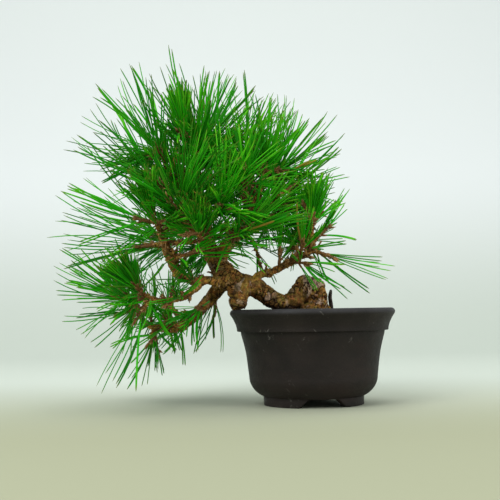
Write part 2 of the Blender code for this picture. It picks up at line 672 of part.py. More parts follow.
def build_tufts(collection, look):
    rng = random.Random(SEED)
    rods = Obstacles()
    for name in LIMBS:
        line = limb_line(name)
        for a, b in zip(line, line[1:]):
            rods.add(name, a[:3], b[:3], a[3] + GAP, b[3] + GAP)
    for x, y, z, radius in KNOTS:
        spot = tree_point((x, y, z))
        rods.add("knots", spot, spot + 1e-6, radius * MM * SCALE, radius * MM * SCALE)
    line = tie_line(TIE_WIRE_RADIUS)
    for a, b in zip(line, line[1:]):
        rods.add("tie_wire", a[:3], b[:3], a[3], b[3])
    for tuft in TUFTS:
        line = twig_line(tuft)
        for a, b in zip(line, line[1:]):
            rods.add(tuft[0], a[:3], b[:3], a[3] + GAP, b[3] + GAP)
        base, aim, _, _ = shoot_frame(tuft)
        rods.add(tuft[0], np.array(base), np.array(base + aim * SHOOT_LENGTH), SHOOT_RADIUS, SHOOT_RADIUS)
    made = []
    for tuft in TUFTS:
        rods.settle()
        shape = shoot_core(tuft)
        grown_here = []
        for face, share, across in tuft_faces(shape, tuft, rng):
            needle = needle_tip(face, share, across, tuft, rods, grown_here, rng)
            if needle:
                grown_here.append(needle)
        for face, start, tip in grown_here:
            point = bmesh.ops.poke(shape, faces=[face])["verts"][0]
            point.co = Vector(tip)
            rods.add(tuft[0], start, tip, NEEDLE_BASE_RADIUS, 0.0)
        mesh = bpy.data.meshes.new("needle_tuft_" + tuft[0])
        shape.to_mesh(mesh)
        shape.free()
        made.append(add_object(mesh.name, mesh, collection, look))
    return made


def clears_sisters(start, tip, grown_here):
    """Whether a needle crosses none of its own tuft's needles, past the crowded feet."""
    if not grown_here:
        return True
    starts = np.array([row[1] for row in grown_here])
    ends = np.array([row[2] for row in grown_here])
    first = start + (tip - start) * NEEDLE_FEET_SHARE
    gap, s, t = closest(first, tip, starts + (ends - starts) * NEEDLE_FEET_SHARE, ends)
    need = NEEDLE_BASE_RADIUS * (1 - NEEDLE_FEET_SHARE) * (2 - s - t)
    return bool((gap > need).all())


def needle_tip(face, share, across, tuft, rods, grown_here, rng):
    """Where this face's needle ends, clear of every other piece, or None where there is no room."""
    name, _, _, aim, length, spread = tuft
    aim = Vector(aim).normalized()
    start = np.array(face.calc_center_median())
    for attempt in range(NEEDLE_TRIES):
        lean = math.radians(spread * (0.15 + 1.05 * share) + rng.gauss(0, 3.0 + attempt * 0.8))
        side = across + aim.cross(across) * rng.gauss(0, 0.12 + 0.03 * attempt)
        way = aim * math.cos(lean) + side.normalized() * math.sin(lean)
        reach = length * MM * SCALE * NEEDLE_FACTOR * rng.uniform(0.86, 1.06) * (1 - 0.02 * attempt)
        tip = start + np.array(way) * reach
        if way.dot(face.normal) > 0.12 and clears_pot(start, tip) and rods.clear(
                name, start, tip, NEEDLE_BASE_RADIUS) and clears_sisters(start, tip, grown_here):
            return face, start, tip
    return None


# ---------------------------------------------------------------------------------------------------------
# the whole object
# ---------------------------------------------------------------------------------------------------------


def stand_on_origin(objects, holder):
    """Moves everything, through one empty, so that its box stands centred on the origin."""
    bpy.context.view_layer.update()
    graph = bpy.context.evaluated_depsgraph_get()
    corners = []
    for obj in objects:
        shown = obj.evaluated_get(graph)
        corners += [shown.matrix_world @ Vector(corner) for corner in shown.bound_box]
    low = [min(corner[i] for corner in corners) for i in range(3)]
    high = [max(corner[i] for corner in corners) for i in range(3)]
    holder.location = (-(low[0] + high[0]) / 2, -(low[1] + high[1]) / 2, -low[2])
    print("pot axis at", [round(value, 5) for value in holder.location])


def main():
    clear_scene()
    parts = new_collection("bonsai")
    cutters = new_collection("cutters")
    cutters.hide_render = True
    clay = material("fired_clay", (0.045, 0.040, 0.036), 0.62)
    earth = material("akadama_soil", (0.20, 0.13, 0.08), 0.95)
    gravel = material("pumice_gravel", (0.42, 0.38, 0.31), 0.95)
    plastic = material("screen_plastic", (0.03, 0.03, 0.03), 0.55)
    wire = material("anodised_wire", (0.10, 0.06, 0.045), 0.40, 0.85)
    bark = material("pine_bark", (0.19, 0.115, 0.06), 0.90)
    needle = material("pine_needles", (0.035, 0.20, 0.02), 0.45)

    pot = build_pot(parts, cutters, clay)
    soil = build_soil(parts, earth)
    solids = [
        pot, soil, build_gravel(parts, gravel), build_drain_mesh(parts, plastic), build_clip(parts, wire),
        build_tie_wire(parts, wire), build_wood(parts, bark),
    ]
    cut_soil(soil, cutters)
    solids += build_tufts(parts, needle)

    holder = bpy.data.objects.new("bonsai_frame", None)
    parts.objects.link(holder)
    for obj in solids + list(cutters.objects):
        obj.parent = holder
    stand_on_origin(solids, holder)


main()
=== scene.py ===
"""The looks of a small black pine bonsai in a round unglazed pot.

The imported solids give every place: the pot's box gives the axis that the wood is laid out from, and each needle
tuft's solid gives its shoot and the way its needles point. Lengths are metres, +Z is up, and the tree is seen
from the -Y side.
"""

import logging
import math
import random
from dataclasses import dataclass, field
from enum import Enum
from typing import Any, Iterable, Sequence

import bmesh
import bpy
import numpy as np
from mathutils import Matrix, Vector, noise
from mathutils.kdtree import KDTree


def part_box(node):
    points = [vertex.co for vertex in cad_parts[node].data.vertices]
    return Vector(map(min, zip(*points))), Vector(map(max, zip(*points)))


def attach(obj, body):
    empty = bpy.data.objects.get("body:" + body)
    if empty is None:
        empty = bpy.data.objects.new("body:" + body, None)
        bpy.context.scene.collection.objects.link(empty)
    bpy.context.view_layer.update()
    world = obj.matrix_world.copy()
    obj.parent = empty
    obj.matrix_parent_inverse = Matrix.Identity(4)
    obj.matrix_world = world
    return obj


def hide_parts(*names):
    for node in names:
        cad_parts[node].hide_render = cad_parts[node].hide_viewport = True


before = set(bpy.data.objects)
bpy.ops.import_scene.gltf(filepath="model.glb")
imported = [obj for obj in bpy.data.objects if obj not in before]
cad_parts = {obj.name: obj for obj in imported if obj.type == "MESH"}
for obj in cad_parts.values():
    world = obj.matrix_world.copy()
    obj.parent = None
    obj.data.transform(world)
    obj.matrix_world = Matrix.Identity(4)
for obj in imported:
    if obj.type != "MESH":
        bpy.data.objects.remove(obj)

MM = 0.001
LOG = logging.getLogger("bonsai")
Row = tuple[float, float, float, float]
Triple = tuple[float, float, float]
Colour = Triple
Sample = tuple[Vector, Vector, float]
STRAIGHT = Vector().freeze()
SOIL_SEED, WOOD_SEED, SPUR_SEED = 31, 12, 31


def srgb(red: int, green: int, blue: int) -> Colour:
    """Turns a colour of 0 to 255 a channel into the linear numbers that shaders take.

    Args:
        red: The red channel.
        green: The green channel.
        blue: The blue channel.

    Returns:
        The linear colour.
    """
    def linear(level: int) -> float:
        share = level / 255
        return share / 12.92 if share <= 0.04045 else ((share + 0.055) / 1.055) ** 2.4

    return linear(red), linear(green), linear(blue)


def smooth_step(low: float, high: float, value: float) -> float:
    """Rises smoothly from 0 at low to 1 at high."""
    share = min(1.0, max(0.0, (value - low) / (high - low)))
    return share * share * (3 - 2 * share)


# ---------------------------------------------------------------------------------------------------------
# shader writing
# ---------------------------------------------------------------------------------------------------------


class Value:
    """A number in a shader, which takes part in arithmetic."""

    def __init__(self, sheet: "Sheet", socket: bpy.types.NodeSocket) -> None:
        """Keeps the socket and the sheet that its nodes are drawn on."""
        self.sheet = sheet
        self.socket = socket

    def _math(self, operation: str, *terms: Any) -> "Value":
        """Adds one Math node over these terms."""
        return self.sheet.node("ShaderNodeMath", {"operation": operation}, dict(enumerate(terms)))

    def __add__(self, other: Any) -> "Value":
        """This plus the other."""
        return self._math("ADD", self, other)

    def __sub__(self, other: Any) -> "Value":
        """This minus the other."""
        return self._math("SUBTRACT", self, other)

    def __mul__(self, other: Any) -> "Value":
        """This times the other."""
        return self._math("MULTIPLY", self, other)

    def __radd__(self, other: Any) -> "Value":
        """The other plus this."""
        return self._math("ADD", other, self)

    def __rsub__(self, other: Any) -> "Value":
        """The other minus this."""
        return self._math("SUBTRACT", other, self)

    def __rmul__(self, other: Any) -> "Value":
        """The other times this."""
        return self._math("MULTIPLY", other, self)

    def at_most(self, other: Any) -> "Value":
        """The smaller of this and the other."""
        return self._math("MINIMUM", self, other)

    def rise(self, low: float, high: float) -> "Value":
        """Rises smoothly from 0, where this is low, to 1, where it is high."""
        settings = {"interpolation_type": "SMOOTHSTEP"}
        return self.sheet.node("ShaderNodeMapRange", settings, {0: self, 1: low, 2: high, 3: 0.0, 4: 1.0})


class Sheet:
    """The node tree of one material, written from Python."""

    def __init__(self, name: str, roughness: float = 0.5, metallic: float = 0.0, specular: float = 0.5) -> None:
        """Starts a material with one shader, whose steady numbers are set on its own sockets."""
        self.material = bpy.data.materials.new(name)
        self.material.use_nodes = True
        self.tree = self.material.node_tree
        self.shader = self.tree.nodes["Principled BSDF"]
        self.shader.inputs["Roughness"].default_value = roughness
        self.shader.inputs["Metallic"].default_value = metallic
        self.shader.inputs["Specular IOR Level"].default_value = specular

    def node(self, kind: str, settings: dict[str, Any], sockets: dict[Any, Any], output: Any = 0) -> Value:
        """Adds a node.

        Args:
            kind: The node's type.
            settings: Its properties, or the stops of a ramp, which are set first.
            sockets: The value or the link of each input, by number or name.
            output: The output to give back, by number or name.

        Returns:
            The output.
        """
        made = self.tree.nodes.new(kind)
        for key, setting in settings.items():
            if key == "stops":
                self._stops(made.color_ramp, setting)
            else:
                setattr(made, key, setting)
        for key, value in sockets.items():
            self._feed(made.inputs[key], value)
        return Value(self, made.outputs[output])

    @staticmethod
    def _stops(ramp: bpy.types.ColorRamp, stops: Sequence[tuple[float, Colour]]) -> None:
        """Sets a ramp's stops."""
        while len(ramp.elements) < len(stops):
            ramp.elements.new(0.5)
        for element, (place, colour) in zip(ramp.elements, stops):
            element.position = place
            element.color = (*colour, 1.0)

    def _feed(self, socket: bpy.types.NodeSocket, value: Any) -> None:
        """Links a value to a socket, or sets the socket to a plain number or colour."""
        if isinstance(value, Value):
            self.tree.links.new(value.socket, socket)
        elif isinstance(value, tuple) and socket.type == "RGBA":
            socket.default_value = (*value, 1.0)
        else:
            socket.default_value = value

    def place(self, scale: Triple = (1.0, 1.0, 1.0)) -> Value:
        """The point's Object coordinates, stretched."""
        point = self.node("ShaderNodeTexCoord", {}, {}, "Object")
        return self.node("ShaderNodeVectorMath", {"operation": "MULTIPLY"}, {0: point, 1: scale})

    def axis(self, name: str) -> Value:
        """One of the point's Object coordinates, as a number."""
        point = self.node("ShaderNodeTexCoord", {}, {}, "Object")
        return self.node("ShaderNodeSeparateXYZ", {}, {0: point}, name)

    def grain(self, scale: float, detail: float = 3.0, roughness: float = 0.55, where: Value | None = None,
              distortion: float = 0.0) -> Value:
        """Fractal noise of about 0.3 to 0.7, at this many cells a metre."""
        sockets = {"Vector": where or self.place(), "Scale": scale, "Detail": detail, "Roughness": roughness,
                   "Distortion": distortion}
        return self.node("ShaderNodeTexNoise", {}, sockets)

    def cells(self, scale: float, feature: str = "F1", output: str = "Distance") -> Value:
        """A Voronoi pattern at this many cells a metre."""
        sockets = {"Vector": self.place(), "Scale": scale}
        return self.node("ShaderNodeTexVoronoi", {"feature": feature}, sockets, output)

    def streaks(self, turn: Triple, size: Triple) -> Value:
        """The point's Object coordinates, for a pattern of marks turned this way and about this large."""
        sockets = {"Vector": self.place(), "Rotation": turn, "Scale": size}
        return self.node("ShaderNodeMapping", {"vector_type": "TEXTURE"}, sockets)

    def number(self, name: str) -> Value:
        """A number that the mesh carries."""
        return self.node("ShaderNodeAttribute", {"attribute_name": name}, {}, "Fac")

    def mix(self, share: Any, first: Any, second: Any, blend: str = "MIX") -> Value:
        """Blends two colours."""
        settings = {"data_type": "RGBA", "blend_type": blend}
        return self.node("ShaderNodeMix", settings, {0: share, 6: first, 7: second}, 2)

    def ramp(self, value: Value, stops: Sequence[tuple[float, Colour]]) -> Value:
        """Looks a number up in a row of colours."""
        return self.node("ShaderNodeValToRGB", {"stops": stops}, {0: value})

    def near(self, spot: Vector, reach: float) -> Value:
        """1 at a spot, falling to 0 at this reach from it."""
        point = self.node("ShaderNodeTexCoord", {}, {}, "Object")
        gap = self.node("ShaderNodeVectorMath", {"operation": "DISTANCE"}, {0: point, 1: tuple(spot)}, "Value")
        return 1 - gap.rise(0.0, reach)

    def finish(self, colour: Any, roughness: Any = None, height: Value | None = None,
               depth: float = 0.0) -> bpy.types.Material:
        """Feeds the shader.

        Args:
            colour: The base colour.
            roughness: The roughness, where it changes over the surface.
            height: The relief, from 0 to 1.
            depth: How deep the relief is, in metres.

        Returns:
            The finished material.
        """
        self._feed(self.shader.inputs["Base Color"], colour)
        if roughness is not None:
            self._feed(self.shader.inputs["Roughness"], roughness)
        if height is not None:
            bump = self.node("ShaderNodeBump", {}, {"Height": height, "Distance": depth, "Strength": 1.0})
            self._feed(self.shader.inputs["Normal"], bump)
        return self.material


# ---------------------------------------------------------------------------------------------------------
# finishes
# ---------------------------------------------------------------------------------------------------------


@dataclass(frozen=True)
class ClayFinish:
    """Dark unglazed clay with a fine grain and chalky marks, and a painted highlight on the rolled lip."""

    body: Colour = srgb(36, 30, 27)
    dark: Colour = srgb(25, 21, 19)
    # Painted highlight: the paler, bluer colour of the rolled lip.
    rim: Colour = srgb(50, 50, 52)
    chalk: Colour = srgb(140, 137, 130)
    warm: Colour = srgb(44, 31, 28)
    speck: Colour = srgb(84, 78, 72)
    dust: Colour = srgb(70, 66, 60)
    smear_size: Triple = (1.8 * MM, 1.8 * MM, 7.0 * MM)
    scratch_size: Triple = (1.6 * MM, 1.6 * MM, 40.0 * MM)
    # The chalky marks, in millimetres from the pot's axis: (x, y, z, reach).
    marks: tuple[Row, ...] = (
        (-37.7, -49.0, 59.0, 5.0), (-46.0, -47.0, 63.5, 5.0), (-39.0, -52.0, 64.0, 5.0), (-9.8, -61.0, 56.0, 4.5),
        (-24.5, -64.0, 76.5, 4.0), (-26.0, -49.0, 28.0, 3.5), (-21.0, -51.0, 22.0, 3.5), (11.0, -59.0, 42.5, 3.0),
        (28.0, -55.0, 55.0, 4.0), (9.6, -56.0, 28.6, 3.5),
    )

    def material(self, axis: Vector, rim: float) -> bpy.types.Material:
        """Writes the clay's shader.

        Args:
            axis: The middle of the rim's top.
            rim: The height of the rim's top.

        Returns:
            The material.
        """
        sheet = Sheet("fired_clay_surface", specular=0.22)
        cloud = sheet.grain(28.0, 4.0).rise(0.35, 0.68)
        colour = sheet.mix(cloud, self.dark, self.body)
        warm = sheet.grain(15.0, 3.0, 0.6, sheet.place((1.0, 1.0, 2.5))).rise(0.5, 0.75) * 0.5
        colour = sheet.mix(warm, colour, self.warm)
        speck = (1 - sheet.cells(520.0).rise(0.08, 0.20)) * sheet.grain(90.0, 2.0).rise(0.52, 0.62)
        colour = sheet.mix(speck * 0.3, colour, self.speck)
        height = sheet.axis("Z")
        # Painted highlight: the top few millimetres of the lip, inside and out, are painted paler.
        lip = height.rise(rim - 5.5 * MM, rim - 2.5 * MM)
        colour = sheet.mix(lip * (0.35 + 0.5 * cloud), colour, self.rim)
        colour = sheet.mix(self._chalk(sheet, axis), colour, self.chalk)
        dust = (1 - height.rise(0.0, 9 * MM)) * sheet.grain(120.0, 3.0).rise(0.45, 0.62) * 0.4
        colour = sheet.mix(dust * 0.5, colour, self.dust)
        relief = sheet.grain(900.0, 3.0, 0.6) * 0.6 + sheet.cells(700.0) * 0.4
        rough = 0.52 + 0.2 * sheet.grain(160.0, 3.0)
        return sheet.finish(colour, rough, relief, 0.35 * MM)

    def _chalk(self, sheet: Sheet, axis: Vector) -> Value:
        """Faint pale scuffs in a few places, and fine scratches between them."""
        smear = sheet.streaks((0.0, 0.8, 0.0), self.smear_size)
        streaks = sheet.grain(1.0, 3.0, 0.6, smear, 0.8).rise(0.54, 0.70)
        total: Any = 0.0
        for x, y, z, reach in self.marks:
            spot = Vector((axis.x + x * MM, axis.y + y * MM, z * MM))
            total = sheet.near(spot, reach * MM) + total
        line = sheet.streaks((0.0, -0.7, 0.3), self.scratch_size)
        scratch = sheet.grain(1.0, 1.0, 0.4, line).rise(0.70, 0.76) * sheet.grain(45.0, 2.0).rise(0.5, 0.62)
        return (total.at_most(1.0) * streaks * 0.6 + scratch * 0.22).at_most(0.8)


@dataclass(frozen=True)
class BarkFinish:
    """Cracked, scaly bark. The mesh carries crack depth with painted shade added in, and how old its wood is."""

    old: Colour = srgb(162, 124, 64)
    weathered: Colour = srgb(190, 164, 142)
    young: Colour = srgb(186, 140, 68)
    fresh: Colour = srgb(176, 110, 52)
    crack: Colour = srgb(20, 12, 7)
    moss: Colour = srgb(116, 116, 46)
    stain: Colour = srgb(88, 60, 30)
    pore: Colour = srgb(54, 34, 16)
    lichen: Colour = srgb(198, 186, 164)

    def material(self, name: str) -> bpy.types.Material:
        """Writes the bark's shader.

        Args:
            name: The material's name.

        Returns:
            The material.
        """
        sheet = Sheet(name, specular=0.12)
        crack, age, moss = sheet.number("crack"), sheet.number("age"), sheet.number("moss")
        tone = sheet.number("tone")
        colour = sheet.mix(age, self.young, self.old)
        patch = sheet.grain(120.0, 4.0, 0.6)
        colour = sheet.mix(patch.rise(0.42, 0.62) * 0.5, colour, self.stain)
        flake = sheet.cells(420.0, output="Color")
        colour = sheet.mix(0.2, colour, flake, "OVERLAY")
        rust = sheet.grain(70.0, 4.0, 0.6).rise(0.54, 0.66) * 0.35
        colour = sheet.mix(rust, colour, self.fresh)
        colour = sheet.mix(tone.rise(0.72, 0.98) * 0.8, colour, self.weathered)
        fine = sheet.grain(520.0, 4.0, 0.65)
        colour = sheet.mix(fine.rise(0.60, 0.36) * 0.5, colour, self.pore)
        blot = sheet.grain(270.0, 3.0, 0.6).rise(0.32, 0.66)
        colour = sheet.mix(0.42, colour, blot, "OVERLAY")
        colour = sheet.mix(moss * sheet.grain(160.0, 3.0).rise(0.42, 0.6) * 0.7, colour, self.moss)
        lichen = sheet.grain(380.0, 2.0).rise(0.70, 0.76) * sheet.grain(60.0, 2.0).rise(0.5, 0.6)
        colour = sheet.mix(lichen * 0.7, colour, self.lichen)
        seam = 1 - sheet.cells(330.0, "DISTANCE_TO_EDGE").rise(0.0, 0.05)
        colour = sheet.mix(seam * patch.rise(0.38, 0.55) * 0.7, colour, self.crack)
        # The crack number also carries painted shade on faces turned down and near the soil.
        colour = sheet.mix(crack * 0.94, colour, self.crack)
        relief = sheet.grain(1300.0, 4.0, 0.65) * 0.6 + sheet.cells(800.0) * 0.4
        return sheet.finish(colour, 0.78 + 0.18 * fine, relief, 0.5 * MM)


@dataclass(frozen=True)
class NeedleFinish:
    """Green needles, yellowish at the sheath and brownish at the very tip. A few are dry."""

    base: Colour = srgb(128, 156, 52)
    deep: Colour = srgb(2, 100, 4)
    bright: Colour = srgb(40, 186, 4)
    lit: Colour = srgb(122, 206, 34)
    tip: Colour = srgb(112, 96, 36)
    dry: Colour = srgb(158, 122, 50)
    band: Colour = srgb(92, 176, 50)

    def material(self) -> bpy.types.Material:
        """Writes the needles' shader."""
        sheet = Sheet("pine_needle_leaf", specular=0.07)
        along, tint, dry = sheet.number("along"), sheet.number("tint"), sheet.number("dry")
        colour = sheet.mix(tint, self.deep, self.bright)
        colour = sheet.mix(along.rise(0.4, 1.0) * tint.rise(0.35, 1.0) * 0.6, colour, self.lit)
        colour = sheet.mix(along.rise(0.90, 1.0) * 0.75, colour, self.tip)
        colour = sheet.mix((1 - along.rise(0.0, 0.09)) * 0.8, colour, self.base)
        colour = sheet.mix(dry, colour, self.dry)
        band = sheet.grain(2600.0, 1.0) * 0.5 + 0.5
        colour = sheet.mix((1 - band.rise(0.66, 0.86)) * 0.18, colour, self.band)
        return sheet.finish(colour, 0.36 + 0.16 * band)


@dataclass(frozen=True)
class ShootFinish:
    """The scaly shoot, its papery sheaths and its buds."""

    scale: Colour = srgb(168, 120, 62)
    pale: Colour = srgb(206, 176, 126)
    dark: Colour = srgb(88, 58, 28)

    def material(self) -> bpy.types.Material:
        """Writes the shoots' shader."""
        sheet = Sheet("pine_shoot_scale", specular=0.3)
        along, tint = sheet.number("along"), sheet.number("tint")
        colour = sheet.mix(tint, self.scale, self.dark)
        colour = sheet.mix(along.rise(0.4, 1.0) * 0.55, colour, self.pale)
        colour = sheet.mix(sheet.grain(900.0, 3.0).rise(0.62, 0.4) * 0.5, colour, self.dark)
        return sheet.finish(colour, 0.7, sheet.cells(1400.0), 0.3 * MM)


@dataclass(frozen=True)
class GranuleFinish:
    """Granules of baked clay, pumice and lava, each of its own tone."""

    brown: Colour = srgb(118, 78, 50)
    clay: Colour = srgb(150, 104, 66)
    tan: Colour = srgb(166, 126, 84)
    pumice: Colour = srgb(176, 164, 142)
    lava: Colour = srgb(72, 50, 44)
    dirt: Colour = srgb(70, 48, 32)

    def material(self, name: str) -> bpy.types.Material:
        """Writes the granules' shader.

        Args:
            name: The material's name.

        Returns:
            The material.
        """
        sheet = Sheet(name, specular=0.2)
        stops = [(0.0, self.brown), (0.45, self.clay), (0.7, self.tan), (0.82, self.pumice), (0.92, self.lava)]
        colour = sheet.ramp(sheet.number("tint"), stops)
        colour = sheet.mix(sheet.grain(700.0, 4.0).rise(0.6, 0.35) * 0.5, colour, self.dirt)
        relief = sheet.grain(1800.0, 4.0, 0.7)
        return sheet.finish(colour, 0.9, relief, 0.4 * MM)


@dataclass(frozen=True)
class PlainFinish:
    """A small made thing in one stuff, with a little wear and dirt."""

    name: str
    colour: Colour
    worn: Colour
    roughness: float
    metallic: float = 0.0
    scale: float = 300.0
    relief: float = 0.1 * MM

    def material(self) -> bpy.types.Material:
        """Writes the shader."""
        sheet = Sheet(self.name, metallic=self.metallic)
        wear = sheet.grain(self.scale, 4.0, 0.6).rise(0.45, 0.65)
        colour = sheet.mix(wear, self.colour, self.worn)
        return sheet.finish(colour, self.roughness + 0.2 * wear, sheet.grain(self.scale * 4, 3.0), self.relief)


# ---------------------------------------------------------------------------------------------------------
# shared shapes
# ---------------------------------------------------------------------------------------------------------


class Bench:
    """Where finished pieces are put down."""

    @staticmethod
    def lay(name: str, mesh: bpy.types.Mesh, finishes: Iterable[bpy.types.Material], slot: str,
            nodes: Sequence[str]) -> bpy.types.Object:
        """Makes a piece that rides on the root body.

        Args:
            name: The piece's name.
            mesh: Its mesh, already in place.
            finishes: Its materials.
            slot: The record's material slot; it is not used.
            nodes: The solids it stands for.

        Returns:
            The piece.
        """
        piece = bpy.data.objects.new(name, mesh)
        bpy.context.scene.collection.objects.link(piece)
        for finish in finishes:
            mesh.materials.append(finish)
        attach(piece, "root")
        if nodes:
            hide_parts(*nodes)
        LOG.info("%s: %d triangles", name, sum(len(face.vertices) - 2 for face in mesh.polygons))
        return piece

    @staticmethod
    def mesh(name: str, shape: bmesh.types.BMesh) -> bpy.types.Mesh:
        """Turns a finished shape into a mesh."""
        mesh = bpy.data.meshes.new(name)
        shape.to_mesh(mesh)
        shape.free()
        return mesh

    @classmethod
    def join(cls, shape: bmesh.types.BMesh, part: bmesh.types.BMesh) -> None:
        """Moves one shape into another."""
        spare = cls.mesh("part", part)
        shape.from_mesh(spare)
        bpy.data.meshes.remove(spare)

    @staticmethod
    def numbers(mesh: bpy.types.Mesh, name: str, values: Sequence[float]) -> None:
        """Stores one number for each of a mesh's points."""
        mesh.attributes.new(name, "FLOAT", "POINT").data.foreach_set("value", np.asarray(values, np.float32))

    @staticmethod
    def shade_smooth(mesh: bpy.types.Mesh, degrees: float = 180.0) -> None:
        """Shades a mesh smooth, with edges sharper than this kept."""
        mesh.shade_smooth()
        if degrees < 180.0:
            mesh.set_sharp_from_angle(angle=math.radians(degrees))


def smooth_line(rows: Sequence[Sequence[float]], steps: int) -> np.ndarray:
    """Draws a Catmull-Rom line through rows of numbers.

    Args:
        rows: The points, each with as many numbers as it needs.
        steps: The steps between two of them.

    Returns:
        The line's points.
    """
    table = np.array(rows, float)
    table = np.vstack([2 * table[0] - table[1], table, 2 * table[-1] - table[-2]])
    line = []
    for a, b, c, d in zip(table, table[1:], table[2:], table[3:]):
        for t in np.linspace(0, 1, steps, endpoint=False):
            line.append(0.5 * (2 * b + (c - a) * t + (2 * a - 5 * b + 4 * c - d) * t**2
                               + (3 * b - a - 3 * c + d) * t**3))
    return np.array([*line, table[-2]])


def evenly(line: np.ndarray, step: float) -> np.ndarray:
    """Spaces a line's points about this far apart."""
    gaps = np.linalg.norm(np.diff(line[:, :3], axis=0), axis=1)
    run = np.concatenate([[0], np.cumsum(gaps)])
    count = max(4, int(run[-1] / step) + 1)
    at = np.linspace(0, run[-1], count)
    return np.stack([np.interp(at, run, line[:, i]) for i in range(line.shape[1])], axis=1)


def frames_along(line: np.ndarray) -> list[tuple[Vector, Vector, Vector]]:
    """Unturning frames along a line: the way on and two directions across it."""
    points = [Vector(row[:3]) for row in line]
    ways = [(b - a).normalized() for a, b in zip(points, points[1:])]
    ways.append(ways[-1])
    across = ways[0].orthogonal().normalized()
    frames = []
    for way in ways:
        across = (across - way * across.dot(way)).normalized()
        frames.append((way, across, way.cross(across)))
    return frames


def samples_along(line: np.ndarray) -> list[Sample]:
    """Points along a limb: the place, the way it runs and its radius."""
    return [(Vector(row[:3]), way, float(row[3])) for row, (way, _, _) in zip(line, frames_along(line))]


def finder(samples: Sequence[Sample]) -> KDTree:
    """Makes what finds the nearest of these points."""
    found = KDTree(len(samples))
    for i, (place, _, _) in enumerate(samples):
        found.insert(place, i)
    found.balance()
    return found


def wander(rng: random.Random, amount: float) -> Vector:
    """A random offset, the same in every direction."""
    return Vector((rng.gauss(0, 1), rng.gauss(0, 1), rng.gauss(0, 1))) * amount


def tilted(rng: random.Random, aim: Vector, degrees: float) -> Vector:
    """A direction leaning off another by an angle, any way round."""
    across = Matrix.Rotation(rng.uniform(0, math.tau), 3, aim) @ aim.orthogonal().normalized()
    lean = math.radians(degrees)
    return aim * math.cos(lean) + across * math.sin(lean)


def sideways(rng: random.Random, across: Vector, other: Vector) -> Vector:
    """A random direction in the plane of two that are square to each other."""
    turn = rng.uniform(0, math.tau)
    return across * math.cos(turn) + other * math.sin(turn)


def ringed_prism(sides: int, rings: int) -> tuple[bmesh.types.BMesh, list[tuple[bmesh.types.BMVert, int]]]:
    """A closed upright prism of unit radius, whose wall is cut into rings.

    Args:
        sides: The sides of each ring.
        rings: The rings, with the two at the ends.

    Returns:
        The prism, and each of its points with the number of its ring, from the foot up.
    """
    shape = bmesh.new()
    bmesh.ops.create_cone(shape, cap_ends=True, segments=sides, radius1=1.0, radius2=1.0, depth=1.0)
    risers = [edge for edge in shape.edges if abs(edge.verts[0].co.z - edge.verts[1].co.z) > 0.5]
    bmesh.ops.subdivide_edges(shape, edges=risers, cuts=rings - 2, use_grid_fill=True)
    return shape, [(vert, round((vert.co.z + 0.5) * (rings - 1))) for vert in shape.verts]


def tube(line: np.ndarray, sides: int) -> bmesh.types.BMesh:
    """A closed tube along rows of x, y, z and radius.

    Args:
        line: The rows.
        sides: The sides of each ring.

    Returns:
        The tube.
    """
    shape, levels = ringed_prism(sides, len(line))
    frames = frames_along(line)
    for vert, level in levels:
        _, across, other = frames[level]
        x, y, z, radius = line[level]
        vert.co = Vector((x, y, z)) + (across * vert.co.x + other * vert.co.y) * radius
    return shape


def turned(profile: Sequence[tuple[float, float]], axis: Vector, steps: int, start: float = 0.0,
           sweep: float = math.tau) -> bmesh.types.BMesh:
    """Spins a profile of radius and height about the upright line through a point.

    Args:
        profile: The profile's points, from outside and above round to the inside.
        axis: A point on the axis.
        steps: The steps of the spin.
        start: The angle the spin starts at.
        sweep: The angle it covers.

    Returns:
        The turned surface.
    """
    shape = bmesh.new()
    heading = Vector((math.cos(start), math.sin(start), 0.0))
    verts = [shape.verts.new(Vector((axis.x, axis.y, height)) + heading * radius) for radius, height in profile]
    edges = [shape.edges.new(pair) for pair in zip(verts, verts[1:])]
    whole = abs(sweep - math.tau) < 1e-6
    bmesh.ops.spin(shape, geom=[*verts, *edges], cent=axis, axis=(0, 0, 1), angle=sweep, steps=steps,
                   use_merge=whole)
    bmesh.ops.remove_doubles(shape, verts=shape.verts, dist=0.001 * MM)
    return shape


def arc(centre: tuple[float, float], radii: tuple[float, float], start: float, end: float,
        steps: int) -> list[tuple[float, float]]:
    """Points of an arc of a profile, from one angle in degrees to another."""
    turns = [math.radians(start + (end - start) * i / steps) for i in range(steps + 1)]
    return [(centre[0] + radii[0] * math.cos(turn), centre[1] + radii[1] * math.sin(turn)) for turn in turns]


# ---------------------------------------------------------------------------------------------------------
# pot
# ---------------------------------------------------------------------------------------------------------


